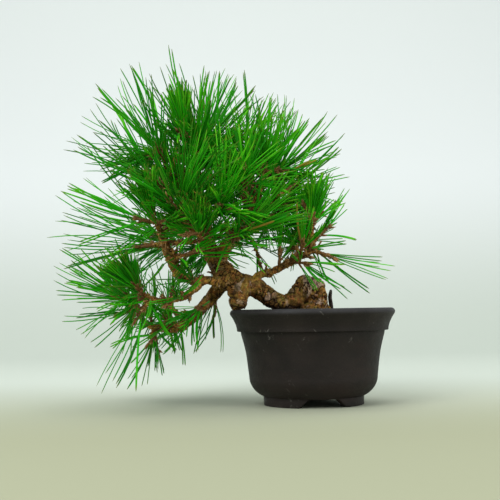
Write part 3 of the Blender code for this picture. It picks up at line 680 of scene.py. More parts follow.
@dataclass
class Pot:
    """The round pot: rolled lip, flared band, step, body, belly and notched ring foot."""

    axis: Vector
    height: float
    rim_radius: float
    wall: float = 5.0 * MM
    roll: float = 3.2 * MM
    band_height: float = 19.3 * MM
    band_inset: float = 5.9 * MM
    step_depth: float = 2.9 * MM
    belly_taper: float = 6.9 * MM
    belly_height: float = 24.0 * MM
    belly_turn: float = 62.0
    foot_radius: float = 42.8 * MM
    foot_height: float = 7.4 * MM
    foot_width: float = 6.5 * MM
    floor: float = 6.0 * MM
    drain_radius: float = 10.0 * MM
    notch_first: float = -82.0
    notch_top: float = 21.0 * MM
    notch_flare: float = 9.0 * MM
    notches: int = 3
    edge: float = 0.6 * MM
    groove: float = 0.25 * MM
    throat: tuple[float, float] = (1.2 * MM, 7.0 * MM)
    # The inside of the lip: how far in from the middle of its roll, and how far below the rim's top.
    lip: tuple[tuple[float, float], ...] = ((3.2 * MM, 3.2 * MM), (2.4 * MM, 0.9 * MM), (1.4 * MM, 0.2 * MM))
    wobble: float = 0.25 * MM
    wheel_mark: float = 0.06 * MM
    spin_steps: int = 180
    pad_steps: int = 44

    def body_side(self, inset: float, foot: float, steps: int) -> list[tuple[float, float]]:
        """The body from the step down round the belly, moved in by a wall."""
        top = self.rim_radius - self.band_inset - self.step_depth - inset
        turn = top - self.belly_taper
        high = self.height - self.band_height
        bend = math.radians(self.belly_turn)
        across = (turn - (self.foot_radius - inset)) / (1 - math.cos(bend))
        down = (self.belly_height - foot) / math.sin(bend)
        belly = arc((turn - across, self.belly_height), (across, down), 0, -self.belly_turn, steps)
        middle = (top * 0.40 + turn * 0.60, high * 0.55 + self.belly_height * 0.45)
        side = smooth_line([(top, high), middle, belly[0]], 8)
        return [*(tuple(row) for row in side[:-1]), *belly]

    def profile(self) -> list[tuple[float, float]]:
        """The whole section, from the lip's top down the outside and back up the inside."""
        foot = self.rim_radius - self.band_inset
        step_height = self.height - self.band_height
        centre = (self.rim_radius - self.roll, self.height - self.roll)
        roll = arc(centre, (self.roll, self.roll), 100, -40, 18)
        fall = roll[-1][1] - (step_height + 2 * self.edge)
        band = [(foot + (roll[-1][0] - foot) * (1 - share) ** 1.7, roll[-1][1] - fall * share)
                for share in np.linspace(0, 1, 12)[1:]]
        step = arc((foot - self.edge, step_height + 2 * self.edge), (self.edge, self.edge), 0, -90, 5)
        groove = [(foot - self.step_depth - self.groove, step_height + self.edge * rise) for rise in (0.9, -0.2)]
        body = self.body_side(0.0, self.foot_height, 18)[1:]
        floor = self.foot_height + self.floor
        under = [(self.foot_radius - 0.6 * MM, self.foot_height - 0.5 * MM),
                 (self.foot_radius - self.foot_width, self.foot_height),
                 (self.drain_radius + 2 * self.edge, self.foot_height)]
        drain = [(self.drain_radius + self.edge * 0.3, self.foot_height + self.edge * 0.3),
                 (self.drain_radius, self.foot_height + self.edge), (self.drain_radius, floor - self.edge),
                 (self.drain_radius + self.edge, floor)]
        inside = self.body_side(self.wall, floor, 10)[::-1]
        throat = (foot - self.wall - self.throat[0], self.height - self.throat[1])
        lip = [(centre[0] - inward, self.height - below) for inward, below in self.lip]
        return [*roll, *band, *step[1:], *groove, *body, *under, *drain, *inside, throat, *lip, roll[0]]

    def pads(self) -> list[bmesh.types.BMesh]:
        """The ring foot's pads, which the notches leave between them."""
        middle = self.foot_radius - self.foot_width / 2
        half_top = self.notch_top / 2 / middle
        half_low = (self.notch_top / 2 + self.notch_flare) / middle
        outer, inner, top = self.foot_radius, self.foot_radius - self.foot_width, self.foot_height + self.edge
        profile = [(outer, top), (outer, 0.0), (inner, 0.0), (inner, top), (outer, top)]
        sweep = math.tau / self.notches - 2 * half_top
        made = []
        for i in range(self.notches):
            start = math.radians(self.notch_first + 360 // self.notches * i)
            shape = turned(profile, self.axis, self.pad_steps, start + half_top, sweep)
            ends = [edge for edge in shape.edges if edge.is_boundary]
            bmesh.ops.holes_fill(shape, edges=ends)
            self._slant(shape, start + math.tau / self.notches / 2, half_low - half_top)
            bmesh.ops.recalc_face_normals(shape, faces=shape.faces)
            sharp = [edge for edge in shape.edges if edge.calc_face_angle(0.0) > 0.6]
            bmesh.ops.bevel(shape, geom=sharp, offset=self.edge * 1.3, affect="EDGES", segments=3, profile=0.5,
                            material=-1, clamp_overlap=True)
            made.append(shape)
        return made

    def _slant(self, shape: bmesh.types.BMesh, middle: float, lean: float) -> None:
        """Turns a pad's lower points towards its middle, most at its ends, so that its ends slant."""
        low = [vert for vert in shape.verts if vert.co.z < self.foot_height / 2]
        for vert in low:
            place = vert.co - self.axis
            angle = (math.atan2(place.y, place.x) - middle + math.pi) % math.tau - math.pi
            share = abs(angle) / (math.tau / self.notches / 2 - self.notch_top / 2 / self.foot_radius)
            turn = -math.copysign(lean, angle) * smooth_step(0.55, 1.0, share)
            spun = Matrix.Rotation(turn, 3, "Z") @ Vector((place.x, place.y, 0.0))
            vert.co.x, vert.co.y = self.axis.x + spun.x, self.axis.y + spun.y

    def build(self) -> None:
        """Makes the pot, a little uneven as a thrown one is."""
        shape = turned(self.profile(), self.axis, self.spin_steps)
        for vert in shape.verts:
            way = Vector((vert.co.x - self.axis.x, vert.co.y - self.axis.y, 0.0)).normalized()
            wave = noise.fractal(vert.co * 22.0, 0.6, 2.0, 2) * self.wobble
            ring = noise.noise(Vector((vert.co.z * 260.0, 0.0, 3.0))) * self.wheel_mark
            vert.co += way * (wave + ring)
        bmesh.ops.recalc_face_normals(shape, faces=shape.faces)
        for pad in self.pads():
            Bench.join(shape, pad)
        mesh = Bench.mesh("clay_pot", shape)
        Bench.shade_smooth(mesh, 50.0)
        rim = Vector((self.axis.x, self.axis.y, self.height))
        Bench.lay("clay_pot", mesh, [ClayFinish().material(rim, self.height)], "fired_clay", ["pot"])

    def clears(self, place: Vector, margin: float) -> bool:
        """Says whether a point is outside the pot by this margin."""
        if place.z > self.height + margin:
            return True
        share = max(0.0, min(1.0, place.z / (self.height - self.band_height)))
        body = self.rim_radius - self.band_inset - self.belly_taper * (1 - share)
        outer = self.rim_radius if place.z > self.height - self.band_height else body
        return math.hypot(place.x - self.axis.x, place.y - self.axis.y) > outer + margin


# ---------------------------------------------------------------------------------------------------------
# what the pot holds
# ---------------------------------------------------------------------------------------------------------


@dataclass
class SoilBed:
    """The mounded soil: a lumpy bed, and loose granules all over it."""

    pot: Pot
    below_rim: float = 8.0 * MM
    mound: float = 5.0 * MM
    depth: float = 12.0 * MM
    crust: float = 1.2 * MM
    lumps: float = 0.8 * MM
    edge_gap: float = 1.3 * MM
    rings: int = 26
    spin_steps: int = 96
    granules: int = 1500
    smallest: float = 0.8 * MM
    largest: float = 2.0 * MM

    @property
    def radius(self) -> float:
        """The bed's radius at its edge."""
        return self.pot.rim_radius - self.pot.band_inset - self.pot.wall - self.edge_gap

    def height(self, radius: float) -> float:
        """The soil's height at this distance from the axis."""
        share = min(1.0, radius / (self.pot.rim_radius * 0.8))
        return self.pot.height - self.below_rim + self.mound * 0.5 * (1 + math.cos(math.pi * share))

    def bed(self) -> bmesh.types.BMesh:
        """The solid bed under the granules."""
        rings = [self.radius * (1 - i / self.rings) for i in range(self.rings + 1)]
        floor = self.pot.height - self.below_rim - self.depth
        profile = [(0.0, floor), (self.radius - 2 * MM, floor), *((r, self.height(r) - self.crust) for r in rings)]
        shape = turned(profile, self.pot.axis, self.spin_steps)
        for vert in shape.verts:
            if vert.co.z > floor + 4 * MM:
                vert.co.z += noise.fractal(vert.co * 260.0, 0.7, 2.0, 3) * self.lumps
        bmesh.ops.recalc_face_normals(shape, faces=shape.faces)
        return shape

    def build(self) -> None:
        """Makes the bed and its granules."""
        rng = random.Random(SOIL_SEED)
        shape = bmesh.new()
        Bench.join(shape, self.bed())
        tints = [rng.random() * 0.5 for _ in shape.verts]
        grain = bmesh.new()
        bmesh.ops.create_icosphere(grain, subdivisions=1, radius=1.0)
        spare = Bench.mesh("granule", grain)
        for _ in range(self.granules):
            self._drop(shape, spare, rng, tints)
        bpy.data.meshes.remove(spare)
        mesh = Bench.mesh("soil_granules", shape)
        Bench.numbers(mesh, "tint", tints)
        Bench.lay("soil_granules", mesh, [GranuleFinish().material("baked_clay_granules")], "akadama_soil",
                  ["soil"])

    def _drop(self, shape: bmesh.types.BMesh, spare: bpy.types.Mesh, rng: random.Random,
              tints: list[float]) -> None:
        """Drops one granule on the bed, and notes its tone for each of its points."""
        size = rng.uniform(self.smallest, self.largest)
        radius = math.sqrt(rng.random()) * (self.radius - size)
        angle = rng.uniform(0, math.tau)
        middle = self.pot.axis + Vector((math.cos(angle), math.sin(angle), 0.0)) * radius
        middle.z = self.height(radius) - self.crust + size * 0.35
        stretch = Matrix.Diagonal((rng.uniform(0.8, 1.25), rng.uniform(0.8, 1.25), rng.uniform(0.7, 1.0)))
        turn = Matrix.Rotation(rng.uniform(0, math.tau), 3, Vector((rng.gauss(0, 1), rng.gauss(0, 1), 1)))
        first = len(shape.verts)
        shape.from_mesh(spare)
        shape.verts.ensure_lookup_table()
        for vert in shape.verts[first:]:
            vert.co = middle + turn @ (stretch @ vert.co) * size * rng.uniform(0.8, 1.15)
        tints.extend([rng.random()] * (len(shape.verts) - first))


@dataclass
class TieWire:
    """The wire loop that ties the rootstock down."""

    box: tuple[Vector, Vector]
    radius: float = 1.1 * MM
    shift: float = 1.2 * MM
    sway: float = 0.5 * MM
    foot: float = 10.0 * MM
    shoulder: float = 6.0 * MM

    def build(self) -> None:
        """Makes the loop, round in section and a little uneven."""
        low, high = (Vector(corner) for corner in self.box)
        middle = (low + high) / 2
        half = (high.y - low.y) / 2 - self.radius
        top = high.z - self.radius - half
        crown = arc((middle.y, top), (half, half), 180, 0, 22)
        foot, shoulder = low.z + self.foot, top - self.shoulder
        path = [(middle.y - half, foot), (middle.y - half, shoulder), *crown, (middle.y + half, shoulder),
                (middle.y + half, foot)]
        rows = [(middle.x - self.shift + self.sway * math.sin(z * 400), y, z, self.radius) for y, z in path]
        mesh = Bench.mesh("tie_wire_loop", tube(evenly(smooth_line(rows, 2), 0.8 * MM), 12))
        Bench.shade_smooth(mesh, 60.0)
        finish = PlainFinish("anodised_wire_surface", srgb(34, 27, 23), srgb(64, 52, 44), 0.45, 0.7, 500.0)
        Bench.lay("tie_wire_loop", mesh, [finish.material()], "anodised_wire", ["tie_wire"])


# ---------------------------------------------------------------------------------------------------------
# wood
# ---------------------------------------------------------------------------------------------------------

# Limbs, in millimetres from the middle of the rim's top: (x, y, z, radius).
OLD_LIMBS: dict[str, tuple[Row, ...]] = {
    "trunk": (
        (5, 0, -30, 7), (4, 0, -22, 10), (2, 0, -8, 13), (0.5, 0, 4, 13.2), (-2, -1, 12, 12.6), (-9, -2, 12, 10.8),
        (-17, -3, 6.5, 8.6), (-25, -4, 4.8, 7.8), (-33, -6, 8, 7.8), (-41, -7.5, 13.5, 8.0), (-49, -9, 19, 8.8),
        (-56, -9, 21, 9.2), (-63, -8, 22, 9.4), (-70, -5, 25, 9.8), (-75, -1, 30.5, 9.8), (-79, 2, 38, 9.0),
        (-84, 3, 47, 7.8), (-90, 2, 58, 6.8), (-95, 0, 71, 5.9), (-99, -1, 87, 5.0), (-101, 0, 104, 4.1),
        (-104, 0, 122, 3.2), (-107, -2, 138, 2.4),
    ),
    "rim_lobe": (
        (-57, -10, 20, 8.6), (-60.5, -12, 14.5, 8.4), (-62.3, -13, 9, 8.2), (-62.8, -13, 5, 7.8),
        (-62.9, -13, 2.4, 7.2), (-63, -13, 0.6, 6.0),
    ),
    "root_right": ((4, -1, 4, 7.5), (12, -1, -2, 5.2), (21, -3, -8, 4), (31, -6, -15, 2.6)),
    "root_front": ((1, -5, 1, 7), (3, -15, -7, 5), (7, -27, -16, 3)),
    "root_back": ((0, 5, 1, 7), (-3, 17, -7, 5), (-8, 30, -17, 3)),
    "root_left": ((-19, -2, 4, 5.6), (-26, 8, -8, 4.2), (-35, 18, -17, 2.6)),
    "low_left": (
        (-73, -1, 24, 6.8), (-81, 4, 17.5, 6.2), (-90, 8, 7, 5.6), (-99, 9, -2.5, 4.9), (-107, 9, -9.5, 4.5),
        (-114, 8, -14, 4.1), (-122, 6, -15.5, 3.4), (-131, 4, -14.5, 3.0), (-140, 2, -12, 2.8), (-148, 0, -4, 2.4),
    ),
    "right_leader": (
        (-80, 3, 40, 6.4), (-75, -2, 51, 6.0), (-67, -6, 61, 5.4), (-58, -8, 71, 4.8), (-51, -8, 83, 4.1),
        (-46, -7, 95, 3.4), (-42, -6, 108, 2.6),
    ),
}
YOUNG_LIMBS: dict[str, tuple[Row, ...]] = {
    "golden_upper": (
        (-73, -4, 27, 4.6), (-83, -11, 25, 4.1), (-94, -16, 25, 3.9), (-105, -20, 26.5, 3.8), (-111, -22, 31, 3.9),
        (-117, -24, 40, 3.9), (-122, -25, 50, 3.7), (-125, -26, 60, 3.3), (-128, -26, 69, 2.7),
    ),
    "golden_lower": (
        (-91, -15, 25, 3.2), (-99, -21, 18.5, 3.0), (-108, -26, 11.5, 2.8), (-118, -31, 8.7, 2.6),
        (-130, -35, 8.5, 2.3),
    ),
    "right_arm": (
        (-50, -9, 21, 4.4), (-45, -11, 28, 3.7), (-37, -12, 31.5, 3.3), (-28, -11, 34.5, 3.2), (-20, -10, 38.5, 3.1),
        (-13, -9, 43, 3.0), (-6, -8, 46, 2.8), (1, -7, 49.5, 2.5),
    ),
    "right_shelf": ((-57, -8, 73, 3.6), (-47, -3, 81, 3.2), (-38, 1, 88, 2.9), (-28, 3, 95, 2.4)),
    "left_shelf": ((-94, 0, 68, 3.8), (-105, -3, 71, 3.2), (-116, -6, 73, 2.8), (-124, -7, 75, 2.3)),
    "upper_left": ((-99, -1, 88, 3.4), (-109, 1, 100, 3.0), (-118, 4, 112, 2.6), (-125, 5, 122, 2.2)),
    "front_spur": ((-91, 1, 60, 4.0), (-91, -14, 62, 3.3), (-92, -30, 63, 2.8), (-92, -44, 63, 2.3)),
    "back_spur": ((-86, 4, 51, 4.2), (-88, 20, 56, 3.5), (-89, 38, 62, 2.9), (-90, 54, 67, 2.3)),
    "back_right": ((-70, -5, 58, 3.8), (-61, 12, 68, 3.2), (-52, 28, 76, 2.8), (-44, 42, 83, 2.3)),
}
# The old limbs that bear twigs and stubs along their upper part.
LEADERS = ("trunk", "right_leader")
# Swellings of the old wood, in the same measures.
KNOTS: tuple[Row, ...] = (
    (3, -5, 19, 9.0), (-5, -4, 20.5, 8.4), (4, 1, 9, 8.4), (-45, -13, 16, 5.4), (-55, -13, 23, 6.2),
    (-67, -8, 28, 7.2), (-79, -3, 34, 6.2), (-61, -15, 13, 4.8), (-112, 8, -13, 5.2), (-16, -8, 9, 5.4),
    (-1, -6, 14, 10.0), (-66, -11, 15, 7.0), (-65.5, -13, 7.5, 5.6), (-64, -13, 3.2, 5.2), (6, -4, 11, 7.4),
    (5.5, -4, 4, 7.6),
)
# The tufts that each limb bears.
TUFTS_OF: dict[str, tuple[str, ...]] = {
    "trunk": ("apex_front", "apex_mid", "apex_back", "upper_a"),
    "upper_left": ("crown_left_a", "crown_left_b", "crown_left_c", "crown_left_back"),
    "golden_upper": ("left_fan", "left_long_c", "front_right"),
    "left_shelf": ("left_long_a", "left_long_b"),
    "low_left": ("low_fan_a", "low_fan_c", "low_under", "low_fan_back", "low_back", "under_left"),
    "golden_lower": ("low_fan_b", "low_sweep"),
    "front_spur": ("front_fan", "front_up", "middle_a"),
    "right_leader": ("middle_b", "upper_b", "upper_c", "upper_d", "right_a", "under_middle"),
    "right_shelf": ("right_b", "right_c"),
    "right_arm": ("arm_fan", "arm_out", "arm_low", "arm_back"),
    "back_spur": ("back_up", "back_low", "back_left"),
    "back_right": ("back_crown", "back_right"),
}
# The small shoots straight on each limb: how many, from which share of its length on, and the share of bare ones.
SPURS_OF: dict[str, tuple[int, float, float]] = {
    "golden_upper": (9, 0.40, 1.0), "golden_lower": (6, 0.15, 0.2), "front_spur": (4, 0.2, 0.0),
    "right_arm": (14, 0.45, 0.8), "right_leader": (8, 0.25, 0.2), "upper_left": (4, 0.2, 0.0),
    "left_shelf": (4, 0.2, 0.0), "low_left": (11, 0.3, 0.25), "trunk": (7, 0.72, 0.0), "right_shelf": (4, 0.2, 0.2),
    "back_spur": (3, 0.2, 0.0), "back_right": (3, 0.2, 0.0),
}


@dataclass(frozen=True)
class Bark:
    """How bark breaks into plates, finer on thinner wood. Depths are shares of a plate's width."""

    thin: float = 2.0 * MM
    thick: float = 11.0 * MM
    fine: float = 1.8 * MM
    coarse: float = 9.0 * MM
    squeeze: float = 0.35
    depth: float = 0.12
    young_depth: float = 0.30
    grit: float = 0.03
    lump: float = 0.12

    def at(self, place: Vector, along: Vector, radius: float) -> tuple[float, float, float]:
        """Works out the bark at a point.

        Args:
            place: The point.
            along: The way the limb runs there.
            radius: The limb's radius there.

        Returns:
            How far the surface moves out, how deep in a crack the point is, and its plate's tone.
        """
        share = smooth_step(self.thin, self.thick, radius)
        plate = self.fine + (self.coarse - self.fine) * share
        depth = self.young_depth + (self.depth - self.young_depth) * share
        squeezed = place + along * place.dot(along) * self.squeeze
        bent = squeezed + noise.noise_vector(squeezed * 140.0) * plate * 0.34
        gaps, seeds = noise.voronoi(bent / plate)
        width = 0.17 + 0.10 * noise.noise(place * 70.0)
        crack = 1 - smooth_step(0.0, width, gaps[1] - gaps[0])
        crack *= smooth_step(-0.4, 0.05, noise.noise(place * 55.0))
        tone = noise.cell(seeds[0] * 7.3)
        small, _ = noise.voronoi(bent / plate * 2.7 + Vector((5, 2, 8)))
        flake = 1 - smooth_step(0.0, 0.16, small[1] - small[0])
        flake *= smooth_step(-0.1, 0.25, noise.noise(place * 90.0))
        rough = noise.fractal(place * 520.0, 0.7, 2.0, 3)
        swell = noise.noise(place * 95.0) * radius * self.lump + noise.noise(place * 42.0) * radius * self.lump
        out = swell + plate * depth * (0.35 * tone - crack) - flake * plate * depth * 0.4 + rough * plate * self.grit
        return out, min(1.0, crack + 0.45 * flake), 0.5 + 0.5 * tone


@dataclass
class Tree:
    """The tree's old wood, its young wood, and the places of its spurs."""

    origin: Vector
    pot: Pot
    bark: Bark = field(default_factory=Bark)
    scar: Vector = field(default_factory=lambda: Vector((2, -8, 27)))
    voxel: float = 0.62 * MM
    smoothings: int = 6
    old_ring: float = 2.0 * MM
    old_sides: int = 20
    young_ring: float = 0.9 * MM
    young_sides: int = 14
    stub_sides: int = 8
    stub_free: int = 40
    scaly_below: float = 3.3 * MM
    scale_share: float = 0.62

    def line(self, name: str, step: float = 1.0 * MM) -> np.ndarray:
        """The centreline of a limb, in metres, evenly spaced."""
        rows = OLD_LIMBS.get(name) or YOUNG_LIMBS[name]
        placed = [(self.origin.x + x * MM, self.origin.y + y * MM, self.origin.z + z * MM, r * MM)
                  for x, y, z, r in rows]
        return evenly(smooth_line(placed, 8), step)

    def old_wood(self) -> None:
        """Makes the trunk, its low limb, the leader and the roots as one cracked solid."""
        shape = bmesh.new()
        samples = []
        for name in OLD_LIMBS:
            line = self.line(name)
            samples.extend(samples_along(line))
            Bench.join(shape, tube(evenly(line, self.old_ring), self.old_sides))
        for x, y, z, radius in KNOTS:
            self._swell(shape, self.origin + Vector((x, y, z)) * MM, radius * MM)
        mesh = self._fused(shape, self.voxel, self.smoothings)
        self._weather(mesh, samples)
        Bench.shade_smooth(mesh)
        Bench.lay("old_wood", mesh, [BarkFinish().material("old_pine_bark")], "pine_bark", ["trunk_and_branches"])

    @staticmethod
    def _swell(shape: bmesh.types.BMesh, middle: Vector, radius: float) -> None:
        """Adds a rounded swelling to the wood."""
        ball = bmesh.new()
        bmesh.ops.create_icosphere(ball, subdivisions=3, radius=radius)
        bmesh.ops.translate(ball, verts=ball.verts, vec=middle)
        Bench.join(shape, ball)

    @staticmethod
    def _fused(shape: bmesh.types.BMesh, voxel: float, smoothings: int) -> bpy.types.Mesh:
        """Fuses overlapping closed shapes into one even mesh.

        Args:
            shape: The shapes.
            voxel: The width of the mesh's faces.
            smoothings: How many times it is smoothed.

        Returns:
            The mesh.
        """
        draft = Bench.mesh("draft", shape)
        holder = bpy.data.objects.new("draft", draft)
        bpy.context.scene.collection.objects.link(holder)
        remesh = holder.modifiers.new("fuse", "REMESH")
        remesh.mode = "VOXEL"
        remesh.voxel_size = voxel
        bpy.context.view_layer.update()
        graph = bpy.context.evaluated_depsgraph_get()
        mesh = bpy.data.meshes.new_from_object(holder.evaluated_get(graph))
        bpy.data.objects.remove(holder, do_unlink=True)
        bpy.data.meshes.remove(draft)
        even = bmesh.new()
        even.from_mesh(mesh)
        for _ in range(smoothings):
            bmesh.ops.smooth_vert(even, verts=even.verts, factor=0.5, use_axis_x=True, use_axis_y=True,
                                  use_axis_z=True)
        even.to_mesh(mesh)
        even.free()
        return mesh

    def _weather(self, mesh: bpy.types.Mesh, samples: Sequence[Sample]) -> None:
        """Breaks a wooden surface into bark, and stores what its finish reads."""
        near = finder(samples)
        rows = []
        moves = []
        for vert in mesh.vertices:
            _, i, _ = near.find(vert.co)
            _, along, radius = samples[i]
            out, crack, tone = self.bark.at(vert.co, along, radius)
            moves.append(vert.co + vert.normal * out)
            height = vert.co.z - self.origin.z
            up = vert.normal.z
            moss = smooth_step(0.1, 0.8, up) * smooth_step(48 * MM, 5 * MM, height)
            moss *= smooth_step(-0.15, 0.3, noise.noise(vert.co * 60.0))
            # Painted shade: on thicker wood, faces turned down and faces near the soil that are not turned up are
            # darkened through the crack number.
            painted_shade = smooth_step(-0.1, -0.8, up)
            painted_shade += 0.9 * smooth_step(9 * MM, 0.0, height) * smooth_step(0.5, -0.3, up)
            crack = min(1.0, crack + 0.55 * painted_shade * smooth_step(4 * MM, 8 * MM, radius))
            away = (vert.co - self.origin - self.scar * MM).length
            bare = smooth_step(15 * MM, 9 * MM, away + 4 * MM * noise.noise(vert.co * 120.0))
            tone, moss = max(tone, bare), moss * (1 - bare)
            rows.append((crack, smooth_step(3.0 * MM, 8.5 * MM, radius), tone, moss))
        mesh.vertices.foreach_set("co", np.array(moves, np.float32).ravel())
        table = np.array(rows)
        for i, name in enumerate(("crack", "age", "tone", "moss")):
            Bench.numbers(mesh, name, table[:, i])
        mesh.update()

    def young_wood(self, tufts: Sequence["Tuft"]) -> None:
        """Makes the thinner limbs and the twigs, with the scales and stubs on them."""
        rng = random.Random(WOOD_SEED)
        shape = bmesh.new()
        samples = []
        lines = [self._gnarled(self.line(name, self.young_ring), rng) for name in YOUNG_LIMBS]
        lines.extend(self._gnarled(self.twig(tuft), rng) for tuft in tufts)
        for line in lines:
            samples.extend(samples_along(line))
            Bench.join(shape, tube(line, self.young_sides))
            self._knuckles(shape, line, rng)
        for line in list(lines) + [self.line(name, self.young_ring)[self.stub_free:] for name in LEADERS]:
            for stub in self._stubs(line, rng):
                samples.extend(samples_along(stub))
                Bench.join(shape, tube(stub, self.stub_sides))
                lines.append(stub)
        shape.normal_update()
        mesh = Bench.mesh("young_wood", shape)
        self._weather(mesh, samples)
        Bench.shade_smooth(mesh, 70.0)
        Bench.lay("young_wood", mesh, [BarkFinish().material("young_pine_bark")], "pine_bark",
                  ["trunk_and_branches"])
        self._scales(lines, rng)

    @staticmethod
    def _gnarled(line: np.ndarray, rng: random.Random) -> np.ndarray:
        """A limb's line made uneven: it swells at its nodes and wanders a little between them."""
        shift = Vector((rng.random(), rng.random(), rng.random())) * 9
        rows = []
        for i, row in enumerate(line):
            ease = min(1.0, i / 6, (len(line) - 1 - i) / 6)
            place = Vector(row[:3])
            wave = 1 + 0.20 * noise.noise(place * 150.0 + shift)
            wave += 0.30 * max(0.0, noise.noise(place * 95.0 - shift))
            place += noise.noise_vector(place * 80.0 + shift) * row[3] * 0.32 * ease
            rows.append((*place, row[3] * wave))
        return np.array(rows)

    def _knuckles(self, shape: bmesh.types.BMesh, line: np.ndarray, rng: random.Random) -> None:
        """Adds the swollen joints where twigs have come and gone."""
        frames = frames_along(line)
        for _ in range(len(line) // 13):
            i = rng.randrange(3, len(line) - 3)
            _, across, other = frames[i]
            middle = Vector(line[i, :3]) + sideways(rng, across, other) * line[i, 3] * 0.6
            self._swell(shape, middle, line[i, 3] * rng.uniform(0.62, 0.98))

    def _stubs(self, line: np.ndarray, rng: random.Random) -> list[np.ndarray]:
        """Short crooked spurs along a limb."""
        stubs = []
        frames = frames_along(line)
        for _ in range(max(1, len(line) // 16)):
            i = rng.randrange(len(line) // 5, len(line) - 2)
            way, across, other = frames[i]
            lean = (sideways(rng, across, other) + way * rng.uniform(0.1, 1.0)).normalized()
            start = Vector(line[i, :3])
            reach = rng.choice((3.0, 4.5, 6.0, 9.0, 13.0)) * rng.uniform(0.8, 1.2) * MM + line[i, 3]
            bow = Vector((rng.gauss(0, 1), rng.gauss(0, 1), 1.2)).normalized() * reach * 0.3
            rows = [(*(start + lean * reach * t + bow * t * t), (1.25 - 0.45 * t) * MM)
                    for t in np.linspace(0, 1, 6)]
            stubs.append(self._gnarled(evenly(np.array(rows), self.young_ring), rng))
        return stubs

    def twig(self, tuft: "Tuft") -> np.ndarray:
        """A twig from its limb to a tuft's base, arriving along the tuft's aim."""
        name = next(limb for limb, names in TUFTS_OF.items() if tuft.name in names)
        line = self.line(name)
        tail = line[len(line) // 3:-2] if name in LEADERS else line[:-2]
        end, aim = np.array(tuft.base), np.array(tuft.aim)
        root = tail[np.argmin(np.linalg.norm(tail[:, :3] - (end - aim * 12 * MM), axis=1))]
        bend = end - aim * np.linalg.norm(end - root[:3]) * 0.45
        rows = []
        for t in np.linspace(0, 1, 9):
            spot = (1 - t) ** 2 * root[:3] + 2 * t * (1 - t) * bend + t**2 * end
            rows.append((*spot, (2.1 - 0.6 * t) * MM))
        return evenly(np.array(rows), 0.8 * MM)

    def spurs(self, tufts: Sequence["Tuft"]) -> None:
        """Gives the tufts of a limb the small shoots that stand straight on its wood."""
        rng = random.Random(SPUR_SEED)
        named = {tuft.name: tuft for tuft in tufts}
        for name, (count, start, bare) in SPURS_OF.items():
            line = self.line(name)
            frames = frames_along(line)
            for i in range(count):
                k = int((start + (0.97 - start) * (i + rng.random()) / count) * (len(line) - 1))
                way, place = frames[k][0], Vector(line[k, :3])
                side = wander(rng, 0.5) + Vector((0.0, -0.35, 0.35))
                side = (side - way * side.dot(way)).normalized()
                host = named[TUFTS_OF[name][i % len(TUFTS_OF[name])]]
                foot, aim = place + side * line[k, 3] * 0.6, (side + way * 0.5).normalized()
                host.spurs.append((foot, aim, rng.random() < bare))

    def _scales(self, lines: Sequence[np.ndarray], rng: random.Random) -> None:
        """Covers the young wood with the curled scales that old needles leave."""
        copies = Copies(Templates.scale())
        for line in lines:
            frames = frames_along(line)
            for i in range(3, len(line) - 1):
                if line[i, 3] > self.scaly_below or rng.random() > self.scale_share:
                    continue
                way, across, other = frames[i]
                side = sideways(rng, across, other)
                lean = (way * rng.uniform(0.7, 1.4) + side).normalized()
                foot = Vector(line[i, :3]) + side * line[i, 3] * 0.85
                copies.add(foot, lean, side, rng.uniform(1.4, 3.0) * MM, rng.uniform(0.5, 0.9) * MM,
                           tint=rng.random())
        mesh = Copies.joined("twig_scales", [copies])
        Bench.lay("twig_scales", mesh, [ShootFinish().material()], "pine_bark", ["trunk_and_branches"])


# ---------------------------------------------------------------------------------------------------------
# needles
# ---------------------------------------------------------------------------------------------------------


class Templates:
    """The small shapes that are repeated, each standing on the origin and one unit high."""

    @staticmethod
    def _blade(sides: int, profile: Sequence[tuple[float, float]], flat: float) -> bmesh.types.BMesh:
        """A closed tapering blade whose rings follow a profile of heights and widths."""
        shape, levels = ringed_prism(sides, len(profile))
        for vert, level in levels:
            height, width = profile[level]
            vert.co = Vector((vert.co.x * width, vert.co.y * width * flat, height))
        return shape

    @classmethod
    def needle(cls) -> bmesh.types.BMesh:
        """A pine needle: slim, nearly even, with a short sharp tip."""
        profile = ((0, 0.72), (0.15, 0.96), (0.38, 1.0), (0.62, 1.0), (0.82, 0.97), (0.95, 0.82), (1, 0.22))
        return cls._blade(4, profile, 0.66)

    @classmethod
    def sheath(cls) -> bmesh.types.BMesh:
        """The papery sheath that holds two needles."""
        return cls._blade(5, ((0, 0.85), (0.5, 1.1), (1, 0.8)), 1.0)

    @classmethod
    def scale(cls) -> bmesh.types.BMesh:
        """A curled scale."""
        return cls._blade(3, ((0, 1.0), (0.5, 0.8), (1, 0.05)), 0.45)

    @classmethod
    def bud(cls) -> bmesh.types.BMesh:
        """A pointed bud."""
        profile = ((0, 0.55), (0.17, 0.95), (0.33, 1.0), (0.5, 0.85), (0.67, 0.6), (0.83, 0.32), (1, 0.04))
        return cls._blade(8, profile, 1.0)


